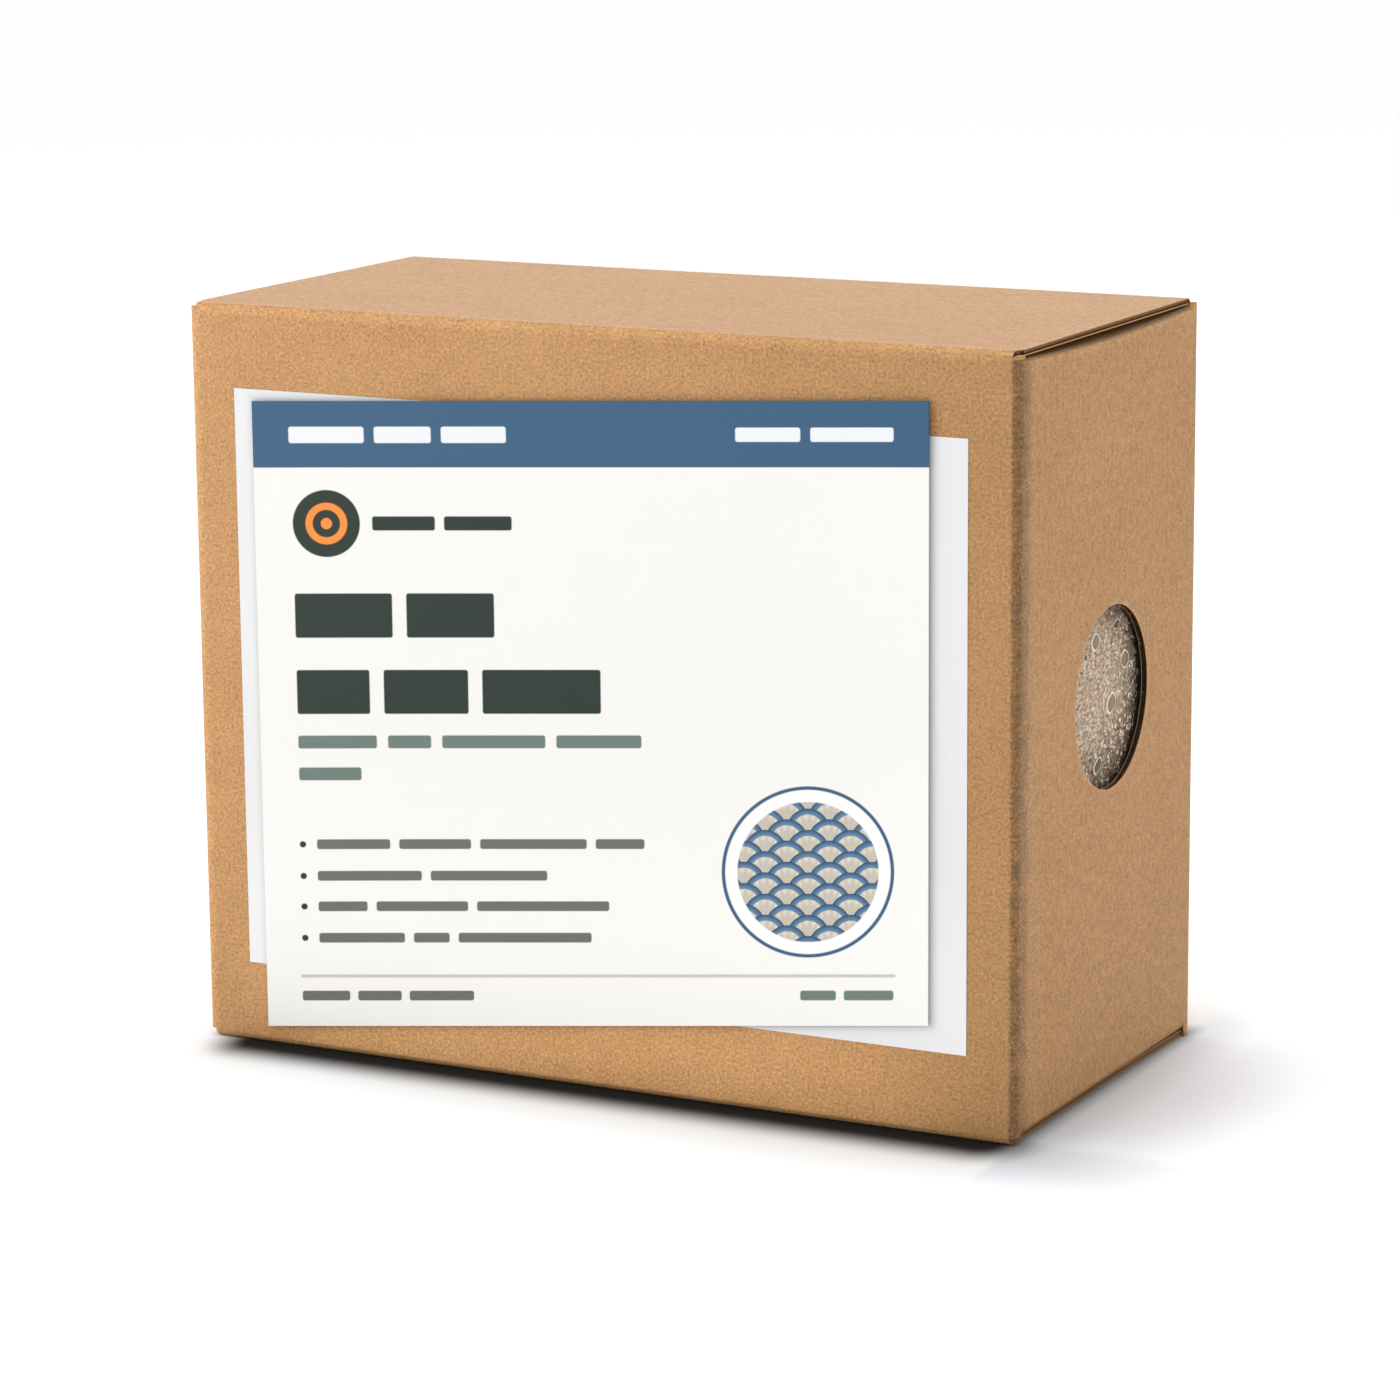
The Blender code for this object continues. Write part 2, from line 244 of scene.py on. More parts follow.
class GrowKitStage(bpy.types.PropertyGroup):
    """Floor, light and camera."""

    floor: colour("Floor", "Pale seamless floor", (0.95, 0.95, 0.95))
    key: power("Key light", "Power of the soft light at the front left", 1.1)
    side: power("Side light", "Power of the soft light close by the left end", 1.05)
    high: power("High light", "Power of the soft light overhead", 5.9)
    rear: power("Rear light", "Power of the soft light behind", 2.7)
    fill: FloatProperty(name="Fill", description="Strength of the white surroundings", default=1.03, min=0.0)
    lens: FloatProperty(
        name="Lens", description="Focal length of the camera in mm", default=124.4, min=20.0, max=300.0
    )


class Wire:
    """A value inside a material. Sums on it add the nodes that work them out."""

    def __init__(self, finish, socket):
        self.finish = finish
        self.socket = socket

    def maths(self, operation, *values):
        return self.finish.node("ShaderNodeMath", {"operation": operation}, dict(enumerate(values)))

    def __add__(self, other):
        return self.maths("ADD", self, other)

    def __sub__(self, other):
        return self.maths("SUBTRACT", self, other)

    def __rsub__(self, other):
        return self.maths("SUBTRACT", other, self)

    def __mul__(self, other):
        return self.maths("MULTIPLY", self, other)

    def __truediv__(self, other):
        return self.maths("DIVIDE", self, other)

    def __abs__(self):
        return self.maths("ABSOLUTE", self)

    __radd__ = __add__
    __rmul__ = __mul__

    def least(self, other):
        return self.maths("MINIMUM", self, other)

    def most(self, other):
        return self.maths("MAXIMUM", self, other)

    def wave(self):
        return self.maths("SINE", self)

    def root(self):
        return self.maths("SQRT", self)

    def whole(self):
        return self.maths("FLOOR", self)

    def ramp(self, low, high):
        """0 at low and 1 at high, eased at both ends; low may be the greater."""
        settings = {"interpolation_type": "SMOOTHSTEP"}
        return self.finish.node("ShaderNodeMapRange", settings, {0: self, 1: low, 2: high})


class Finish:
    """A material in the making."""

    def __init__(self, name):
        self.material = bpy.data.materials.new(name)
        self.material.use_nodes = True
        self.tree = self.material.node_tree
        self.tree.nodes.clear()

    def node(self, kind, settings=None, sockets=None, output=0):
        """Adds a node, its settings first, then values or links on its sockets."""
        made = self.tree.nodes.new(kind)
        for key, value in (settings or {}).items():
            setattr(made, key, value)
        for key, value in (sockets or {}).items():
            if isinstance(value, Wire):
                self.tree.links.new(value.socket, made.inputs[key])
            else:
                made.inputs[key].default_value = value
        return Wire(self, made.outputs[output] if made.outputs else None)

    def mix(self, share, *tones):
        """Two colours mixed; a plain colour may be given with three numbers."""
        plain = [isinstance(tone, tuple) and len(tone) == 3 for tone in tones]
        first, second = [(*tone, 1.0) if bare else tone for tone, bare in zip(tones, plain)]
        settings = {"data_type": "RGBA", "clamp_result": False}
        return self.node("ShaderNodeMix", settings, {0: share, 6: first, 7: second}, output=2)

    def tint(self, tone, amount):
        """A colour scaled by a number that varies over the surface."""
        return self.node("ShaderNodeVectorMath", {"operation": "SCALE"}, {0: tone, 3: amount})

    def attribute(self, name):
        """A vector kept on the mesh's points, as a wire and as its three numbers."""
        place = self.node("ShaderNodeAttribute", {"attribute_name": name}, output=1)
        parts = self.tree.nodes.new("ShaderNodeSeparateXYZ")
        self.tree.links.new(place.socket, parts.inputs[0])
        return place, [Wire(self, socket) for socket in parts.outputs]

    def spots(self, place, scale, detail=2.0, rough=0.5, stretch=(1, 1, 1)):
        """Soft cloudy noise from 0 to 1 around 0.5; scale is in repeats a metre."""
        scales = [scale * part for part in stretch]
        scaled = self.node("ShaderNodeVectorMath", {"operation": "MULTIPLY"}, {0: place, 1: scales})
        sockets = {"Vector": scaled, "Scale": 1.0, "Detail": detail, "Roughness": rough}
        return self.node("ShaderNodeTexNoise", {}, sockets)

    def bump(self, height, distance, strength):
        return self.node("ShaderNodeBump", {}, {"Height": height, "Distance": distance, "Strength": strength})

    def surface(self, sockets):
        """The shader and its output; gives the finished material."""
        shader = self.node("ShaderNodeBsdfPrincipled", {}, sockets)
        self.node("ShaderNodeOutputMaterial", {}, {"Surface": shader})
        return self.material


def finish_of(name, maker, *given):
    """A finish that several pieces share is made once."""
    return bpy.data.materials.get(name) or maker(name, *given)


def kraft_liner(name, tone, pitch, inner=False):
    """Brown kraft paper over flutes: fibres, clouds, a few dark specks, washboard, and painted light and
    shade on the creases.
    """
    finish = Finish(name)
    place, (run, _, _) = finish.attribute("flat_place")
    _, (wear_and_light, dust, coarse) = finish.attribute("crease_wear")
    streaks = finish.spots(place, 620, detail=2, rough=0.6, stretch=(1, 0.65, 1))
    fibres = finish.spots(place, 1450, detail=1.5, rough=0.6)
    threads = finish.spots(place, 800, detail=2, rough=0.6, stretch=(1.5, 0.5, 1))
    clouds = finish.spots(place, 42, detail=3, rough=0.55)
    patches = finish.spots(place, 190, detail=2)
    specks = finish.spots(place, 1300, detail=1, stretch=(0.7, 1.2, 1)).ramp(0.715, 0.79)
    flutes = (run * (2 * math.pi / pitch) + clouds * 5).wave()
    light = (
        1.0
        + (fibres - 0.5) * 1.3
        + (threads - 0.5) * 0.30
        + (streaks - 0.5) * coarse * 0.75
        + (clouds - 0.5) * 0.16
        + (patches - 0.5) * 0.20
        + flutes * (0.02 if inner else 0.009)
    )
    uneven = (patches - 0.5) * 1.1 + (fibres - 0.5) * 1.3
    # painted shade on darker creases, over crushed board at the front's right; painted highlights on paler
    # ones
    dark = (wear_and_light * -1 + wear_and_light.least(0) * uneven).ramp(0.0, 1.0)
    bright = (wear_and_light + wear_and_light.most(0) * uneven).ramp(0.0, 1.0)
    crushed = finish.spots(place, 620, detail=2, rough=0.7, stretch=(0.45, 1.7, 1)) - 0.5
    light = light * (1 - dark * (0.52 + crushed * 0.5)) * (1 + bright * 0.16)
    # dust: darker near the floor, painted shade under the lid's edge and towards the front's right end,
    # painted light low on the front
    light = light * (1 - specks * 0.34) * (1 - dust * 0.25)
    red, green, blue = tone
    warmer = (red, green * 0.97, blue * 0.93)
    body = finish.tint(finish.mix(clouds.ramp(0.25, 0.75), warmer, tone), light)
    sheen = (fibres - 0.5) * 0.2 + 0.58 - bright * 0.06
    height = fibres * 0.55 + threads * 0.25 + flutes * (0.5 if inner else 0.22) + patches * 0.3
    relief = finish.bump(height, 0.035 * MM, 0.8)
    sockets = {"Base Color": body, "Roughness": sheen, "Normal": relief, "Specular IOR Level": 0.22}
    return finish.surface(sockets)


def cut_board(name, flute_tone, liner_tone, pitch):
    """The cut edge: two pale liners with the wave of fluted paper between them, painted shade in the hollows
    beside the fluting, and painted shade over the edge in the fruiting hole.
    """
    finish = Finish(name)
    place, (run, _, through) = finish.attribute("flat_place")
    _, (_, rim_shade, across) = finish.attribute("crease_wear")
    fray = finish.spots(place, 1500, detail=2) - 0.5
    wave = (run * (2 * math.pi / pitch) + 1.0).wave() * 0.33 + 0.5
    paper = abs(through + fray * 0.1 - wave).ramp(0.13, 0.06) * (fray * 2.2 + 0.55)
    liner = abs(through - 0.5).ramp(0.325, 0.37)
    # painted shade: the hollows on the inner side of the fluting's wave are dark
    slope = (wave - through).ramp(-0.12, 0.1)
    shaded_hollows = finish.tint(flute_tone, 0.12 + fray * 0.3 + slope)
    wavy = finish.mix(paper, shaded_hollows, flute_tone)
    whole = finish.mix(liner.most(across), wavy, finish.tint(liner_tone, 1.12 + fray * 0.5))
    # painted shade over the cut edge in the fruiting hole, with the inner liner's pale line and the flute
    # tips' dots
    dots = finish.spots(place, 600, detail=1).ramp(0.62, 0.70)
    shaded_flutes = finish.tint(flute_tone, 0.08 + dots * 1.5)
    shaded_edge = finish.mix(through.ramp(0.93, 0.97), shaded_flutes, (0.23, 0.19, 0.155))
    whole = finish.mix(rim_shade, whole, shaded_edge)
    relief = finish.bump(fray + paper * 0.6, 0.05 * MM, 0.7)
    sockets = {"Base Color": whole, "Roughness": 0.85, "Normal": relief, "Specular IOR Level": 0.25}
    return finish.surface(sockets)


def spread(marks, step=PANEL_STEP):
    """Places between the marks, no further apart than step."""
    made = [marks[0]]
    for low, high in zip(marks, marks[1:]):
        count = max(1, math.ceil((high - low) / step - 1e-6))
        made.extend(low + (high - low) * part / count for part in range(1, count + 1))
    return made


def between(low, high, steps=(0.6, 1.4, 2.4, 4.0, 6.0)):
    """Places from low to high, closer together beside the creases at both ends."""
    near = [low + step * MM for step in steps]
    far = [high - step * MM for step in reversed(steps)]
    return spread([low, *near, *far, high])


def at_mark(where, marks):
    """The value at a place on the line through the marks, which are pairs of place and value."""
    return float(np.interp(where, *zip(*marks)))


def sink(place, way, depth):
    """How far the board's face lies behind its flat plane, slow clouds with a little ripple on them."""
    slow = 0.5 + 0.5 * noise.noise(place * 13 + Vector((3.1, 0.7, 5.2)))
    ripple = 0.5 + 0.5 * noise.noise(place * 55 + Vector((1.7, 9.2, 4.4)))
    share = 0.25 if way.z < -0.5 else 1.0
    return depth * share * (0.8 * slow + 0.2 * ripple)


def settled(place, way, depth):
    """Where a place ends up: sunk in a little, and the end walls' upper creases pressed down."""
    moved = place - way * sink(place, way, depth)
    under_lid = HIGH_FOLD - PRESSED_TALL < place.z < HEIGHT - 1.6 * MM
    if abs(place.x) > HALF_W - FLAP_LENGTH - 3 * MM and under_lid:
        along = min(1.0, abs(place.y) / PRESSED_HALF_Y)
        rise = min(1.0, (place.z - HIGH_FOLD + PRESSED_TALL) / PRESSED_TALL)
        deep = PRESSED_RIGHT if place.x > 0 else PRESSED_LEFT
        moved.z -= deep * (1 - along**2) * rise * rise * (3 - 2 * rise)
    return moved


def painted_light_and_wear(place):
    """Painted light and shade with crushed board, and dust, as two numbers. The first is below 0 where a
    crease is darker, as painted shade over crushed board on the front's right upright crease, and above 0
    where it is paler: painted highlights along the other creases, a paler line along the lid's side edges and
    a paler ring round the fruiting hole. The second, dust, is darker within 5 mm of the floor, painted shade
    under the lid's edge and towards the front's right end, and painted light low on the front. Sizes in mm.
    """
    x, y, z = (part / MM for part in place)
    wear_and_light = 0.0
    # painted shade over crushed board on the front's right upright crease
    if x > 104 and y < -44 and z < 179.7:
        if y > -51:
            way_round = 3.94 + y + 51
        elif y < -52.99:
            way_round = x - 105.2
        else:
            way_round = 0.8 + 3.14 * math.atan2(max(0, x - 106), -51 - y) / 1.571
        wear_and_light = at_mark(way_round, CORNER_SHADE_AND_CRUSH) * at_mark(z, CORNER_SHADE_BY_HEIGHT)
    # painted highlights on the front's left crease and the lid's front crease
    elif x < -105 and y < -50 and z < 178.4:
        wear_and_light = 0.55
    elif y < -50 and z > 177.6:
        wear_and_light = at_mark(z, LID_CREASE_LIGHT)
    # a paler line along the lid's side edges, painted highlights on the back's right crease and the end
    # walls' creases
    elif abs(x) > 106.3 and z > 180.9:
        wear_and_light = 0.8
    elif x > 106.2 and y > 50.4:
        wear_and_light = 0.5
    elif abs(x) > 105.6 and z > 176.6 or abs(x) > 105.4 and z < 4.4:
        wear_and_light = 0.35
    # a paler ring round the fruiting hole
    hole = math.hypot(y - HOLE_Y / MM, z - HOLE_Z / MM) - HOLE_RADIUS / MM
    if x > 106 and hole < 2.2:
        wear_and_light = at_mark(hole, HOLE_RIM_PALE)
    # dust: darker within 5 mm of the floor, except on the front's face
    dust = max(0.0, 1 - z / 5) * 0.6 if y > -52 or z < 0.5 else 0.0
    # on the front: painted shade towards its right end, painted light low down
    if y < -52.9:
        dust = at_mark(x, ((30, 0), (108, 0.45)))
        dust -= 1.6 * max(0.0, 1 - (z / 36) ** 2) * at_mark(abs(x), ((70, 1), (102, 0)))
    # painted shade under the lid's edge, on the end walls' top creases
    if 105.4 < abs(x) < 107.6 and 178.2 < z < 179.4 and abs(y) < 50:
        dust = at_mark(abs(x), ((105.4, 0), (106.2, 1))) * at_mark(z, ((178.2, 0), (178.9, 2.6)))
    return wear_and_light, dust


def hole_rim_shade(place):
    """How much painted shade darkens the board's cut edge in the fruiting hole: most on the back's side."""
    away = math.hypot(place.y - HOLE_Y, place.z - HOLE_Z)
    if place.x < HALF_W - 0.1 * MM or away > HOLE_RADIUS + 0.1 * MM:
        return 0.0
    return min(1.0, max(0.0, 0.6 + 0.6 * (place.y - HOLE_Y) / HOLE_RADIUS))


class FoldedBoard:
    """Board as its outer face: each corner's place, way out of the board and place on the flat blank."""

    def __init__(self, depth):
        self.depth = depth
        self.places = []
        self.ways = []
        self.flats = []
        self.faces = []
        self.found = {}
        self.joined = []

    def corner(self, place, way, flat):
        key = tuple(round(part / (0.02 * MM) + 0.137) for part in place)
        if key not in self.found:
            self.found[key] = len(self.places)
            self.places.append(place.copy())
            self.ways.append(way.copy())
            self.flats.append(flat)
        return self.found[key]

    def quad(self, corners):
        places = [self.places[i] for i in corners]
        turned = (places[1] - places[0]).cross(places[2] - places[0])
        turned += (places[2] - places[0]).cross(places[3] - places[0])
        if turned.dot(self.ways[corners[0]] + self.ways[corners[2]]) < 0:
            corners = corners[::-1]
        self.faces.append(tuple(corners))

    def rows(self, rows, keep=None):
        """A panel from rows of corners; keep may leave faces out by their middle."""
        for near, far in zip(rows, rows[1:]):
            for i in range(len(near) - 1):
                corners = [near[i], near[i + 1], far[i + 1], far[i]]
                if keep is None or keep(sum((self.places[j] for j in corners), Vector()) / 4):
                    self.quad(corners)

    def row(self, places, way, flats):
        return [self.corner(place, way, flat) for place, flat in zip(places, flats)]

    def crease(self, edge, way, ahead, turn=math.pi / 2, steps=9, grow=None, radius=FOLD):
        """Folds inward over an edge of (place, flat) pairs. Gives the far edge and the new directions."""
        made = []
        for step in range(steps + 1):
            angle = turn * step / steps
            out = way * math.cos(angle) + ahead * math.sin(angle)
            pairs = [grow(place + (out - way) * radius, flat, radius * angle) for place, flat in edge]
            made.append(self.row([pair[0] for pair in pairs], out, [pair[1] for pair in pairs]))
        self.rows(made)
        far = [(self.places[i], self.flats[i]) for i in made[-1]]
        return far, out, ahead * math.cos(turn) - way * math.sin(turn)

    def ledge(self):
        """For every edge of the board: its face, and for every corner on it the way into the sheet."""
        seen = {}
        for face in self.faces:
            for pair in zip(face, face[1:] + face[:1]):
                seen.setdefault(frozenset(pair), []).append((pair, face))
        inward = {}
        edges = []
        for found in seen.values():
            if len(found) > 1:
                continue
            (i, j), face = found[0]
            edges.append((i, j))
            along = (self.places[j] - self.places[i]).normalized()
            into = sum((self.places[k] for k in face), Vector()) / len(face)
            into -= (self.places[i] + self.places[j]) / 2
            into -= along * into.dot(along)
            for k in (i, j):
                inward[k] = inward.get(k, Vector()) + into.normalized()
        return edges, inward

    def mesh(self, name, origin=Vector()):
        """The board with its thickness; at a cut edge the flutes lie in a groove between the liners."""
        edges, inward = self.ledge()
        outer = [settled(place, way, self.depth) for place, way in zip(self.places, self.ways)]
        verts = outer + [place - way * BOARD for place, way in zip(outer, self.ways)]
        count = len(outer)
        flats = [(*flat, 0.0) for flat in self.flats] + [(*flat, 1.0) for flat in self.flats]
        # Painted light and shade with crushed board, dust and the grain's coarseness for the faces; painted
        # shade in the fruiting hole for the cut edges
        wear_and_light_marks = [
            (*painted_light_and_wear(place), min(1.0, abs(way.x) + abs(way.z))) for place, way in zip(self.places, self.ways)
        ] * 2
        faces = list(self.faces) + [tuple(count + i for i in reversed(face)) for face in self.faces]
        slots = [0] * len(self.faces) + [1] * len(self.faces)
        lips = {}
        for i, into in inward.items():
            into = (into - self.ways[i] * into.dot(self.ways[i])).normalized()
            plain = any(test(self.places[i]) for test in self.joined)
            lips[i] = len(verts)
            deep = 0.0 if plain else GROOVE
            for through, sunk in ((LINER, 0), (LINER, deep), (BOARD - LINER, deep), (BOARD - LINER, 0)):
                verts.append(outer[i] - self.ways[i] * through + into * sunk)
                flats.append((*self.flats[i], through / BOARD))
                wear_and_light_marks.append((0.0, hole_rim_shade(self.places[i]), 0.0 if sunk else 1.0))
        for i, j in edges:
            left, right = [[k, *range(lips[k], lips[k] + 4), count + k] for k in (i, j)]
            for step in range(5):
                faces.append((right[step], left[step], left[step + 1], right[step + 1]))
                slots.append(2)
        mesh = bpy.data.meshes.new(name)
        mesh.from_pydata([place - origin for place in verts], [], faces)
        mesh.polygons.foreach_set("material_index", slots)
        mesh.polygons.foreach_set("use_smooth", [True] * len(faces))
        keep_on_points(mesh, "flat_place", flats)
        keep_on_points(mesh, "crease_wear", wear_and_light_marks)
        sharpen(mesh, 0.6)
        return mesh


def keep_on_points(mesh, name, values):
    """A vector for each point, for the material to read."""
    layer = mesh.attributes.new(name, "FLOAT_VECTOR", "POINT")
    layer.data.foreach_set("vector", np.array(values, np.float32).ravel())


def sharpen(mesh, angle):
    """Edges that turn by more than the angle stay crisp under smooth shading."""
    shape = bmesh.new()
    shape.from_mesh(mesh)
    for edge in shape.edges:
        edge.smooth = len(edge.link_faces) == 2 and edge.calc_face_angle() < angle
    shape.to_mesh(mesh)
    shape.free()


def add_piece(name, mesh, finishes, replaced=()):
    piece = bpy.data.objects.new(name, mesh)
    for finish in finishes:
        mesh.materials.append(finish)
    bpy.context.scene.collection.objects.link(piece)
    if replaced:
        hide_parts(*replaced)
    return piece


def board_finishes(board):
    """Outside and inside liner, and the cut edge."""
    return [
        finish_of("kraft_outside", kraft_liner, tuple(board.outside), board.pitch),
        finish_of("kraft_inside", kraft_liner, tuple(board.inside), board.pitch, True),
        finish_of("cut_board_edge", cut_board, tuple(board.flute), tuple(board.outside), board.pitch),
    ]


def wall_stations():
    """The band of walls in plan, from the glue tab round to the back wall's raw edge, as (x, y, way, run)."""
    stations = []
    run = 0.0
    left_y = TUCKED_Y - FOLD
    ends_y = [-FLAT_Y, -50.4 * MM, FLAP_FRONT, -49 * MM, -48 * MM, -46.5 * MM, -44 * MM]
    square = [HOLE_Y - HOLE_SQUARE, HOLE_Y + HOLE_SQUARE]
    notch_y = [FLAP_BACK, 48.9 * MM, 49.3 * MM, 49.8 * MM]
    right_y = spread([*ends_y, *square, 44 * MM, 46.5 * MM, *notch_y, FLAT_Y])
    left_stops = spread([*ends_y, 44 * MM, 46.5 * MM, FLAP_BACK, left_y])
    tab_x = spread([-FLAT_X, -FLAT_X + TAB_TAPER, -FLAT_X + TAB_LENGTH])
    front_x = between(-FLAT_X, FLAT_X)
    back_x = spread([-SEAM_X, -FLAT_X, FLAT_X - 3 * MM, FLAT_X - 1.8 * MM, FLAT_X - 0.8 * MM, FLAT_X])
    straights = [
        ("tab", [(x, TUCKED_Y) for x in reversed(tab_x)], BACKWARD),
        ("left", [(-HALF_W, y) for y in reversed(left_stops)], Vector((-1, 0, 0))),
        ("front", [(x, -HALF_D) for x in front_x], FORWARD),
        ("right", [(HALF_W, y) for y in right_y], Vector((1, 0, 0))),
        ("back", [(x, HALF_D) for x in reversed(back_x)], BACKWARD),
    ]
    for number, (name, line, way) in enumerate(straights):
        for i, (x, y) in enumerate(line):
            if i:
                run += math.dist(line[i - 1], (x, y))
            stations.append((name, x, y, way, run))
        if number == len(straights) - 1:
            break
        steps = 9
        after = straights[number + 1][2]
        centre = Vector((*line[-1], 0)) - way * FOLD
        for step in range(1, steps):
            angle = math.pi / 2 * step / steps
            out = way * math.cos(angle) + after * math.sin(angle)
            place = centre + out * FOLD
            stations.append(("crease", place.x, place.y, out, run + FOLD * angle))
        run += FOLD * math.pi / 2
    return stations


def corner_round(x, most):
    """How far the back wall's upper edge, or its lower one, draws in beside its folded corner."""
    return most * max(0.0, 1 - (FLAT_X - x) / ROUND_LONG) ** 2


def column_ends(y):
    """Where an upright crease ends beside the base and beside the lid."""
    if y < 0:
        return COLUMN_FOOT, at_mark(y / MM, COLUMN_FRONT_TOP) * MM
    return at_mark(y / MM, COLUMN_BACK_FOOT) * MM, at_mark(y / MM, COLUMN_BACK_TOP) * MM


def corner_columns(board, walls):
    """The upright creases run on past the dust flaps, up beside the lid and down to the base."""
    corners = (
        [s for s in walls if s[1] < 0 and s[2] > FLAP_BACK - 1e-7 and s[0] != "back"],
        [s for s in walls if s[1] < 0 and s[2] < FLAP_FRONT + 1e-7 and s[1] < -FLAT_X + 1e-7],
        [s for s in walls if s[1] > FLAT_X - 1e-7 and s[2] < FLAP_FRONT + 1e-7],
        [s for s in walls if s[1] > FLAT_X - 1e-7 and s[2] > FLAP_BACK - 1e-7],
    )
    for corner in corners:
        for fold, side in ((LOW_FOLD, 0), (HIGH_FOLD, 1)):
            rows = []
            for share in (0.0, 0.3, 0.65, 1.0):
                row = []
                for _, x, y, way, run in corner:
                    z = fold + (column_ends(y)[side] - fold) * share
                    row.append(board.corner(Vector((x, y, z)), way, (run, z)))
                rows.append(row)
            board.rows(rows)


def hole_patch(board, right):
    """Rings from the square round the fruiting hole in to its cut edge."""
    low_y, high_y = HOLE_Y - HOLE_SQUARE, HOLE_Y + HOLE_SQUARE
    low_z, high_z = HOLE_Z - HOLE_SQUARE, HOLE_Z + HOLE_SQUARE
    side = [step / HOLE_STEPS for step in range(HOLE_STEPS)]
    square = [(low_y + (high_y - low_y) * part, low_z) for part in side]
    square += [(high_y, low_z + (high_z - low_z) * part) for part in side]
    square += [(high_y - (high_y - low_y) * part, high_z) for part in side]
    square += [(low_y, high_z - (high_z - low_z) * part) for part in side]
    start = next(run for name, _, y, _, run in right if name == "right" and abs(y + FLAT_Y) < 1e-6)
    way = Vector((1, 0, 0))
    rings = []
    for share in (0.0, 0.015, 0.04, 0.08, 0.15, 0.26, 0.42, 0.6, 0.8, 1.0):
        ring = []
        for y, z in square:
            angle = math.atan2(z - HOLE_Z, y - HOLE_Y)
            rim_y = HOLE_Y + HOLE_RADIUS * math.cos(angle)
            rim_z = HOLE_Z + HOLE_RADIUS * math.sin(angle)
            at_y = rim_y + (y - rim_y) * share
            at_z = rim_z + (z - rim_z) * share
            ring.append(board.corner(Vector((HALF_W, at_y, at_z)), way, (start + at_y + FLAT_Y, at_z)))
        rings.append(ring + ring[:1])
    board.rows(rings)


def flap(board, line, side, height, ahead):
    """A dust flap folded in from an end wall, tapering to its free edge."""
    way = Vector((side, 0, 0))
    sign = 1 if ahead.z > 0 else -1
    edge = [(Vector((HALF_W * side, y, height)), (run, height)) for y, run in line]
    far, out, _ = board.crease(
        edge, way, ahead, grow=lambda place, flat, run: (place, (flat[0], flat[1] + sign * run))
    )
    rows = [[board.corner(place, out, flat) for place, flat in far]]
    middle = (FLAP_FRONT + FLAP_BACK) / 2
    half = (FLAP_BACK - FLAP_FRONT) / 2
    steep = 4 * FLAP_TAPER
    for along in spread([0, steep, FLAP_LENGTH - 1.5 * MM, FLAP_LENGTH])[1:]:
        taper = FLAP_TAPER * min(1.0, along / steep)
        taper += FLAP_TAPER * max(0.0, along - steep) / (FLAP_LENGTH - steep)
        row = []
        for place, flat in far:
            y = middle + (place.y - middle) * (half - taper) / half
            moved = Vector((side * (FLAT_X - along), y, place.z))
            row.append(board.corner(moved, out, (flat[0], flat[1] + sign * along)))
        rows.append(row)
    board.rows(rows)


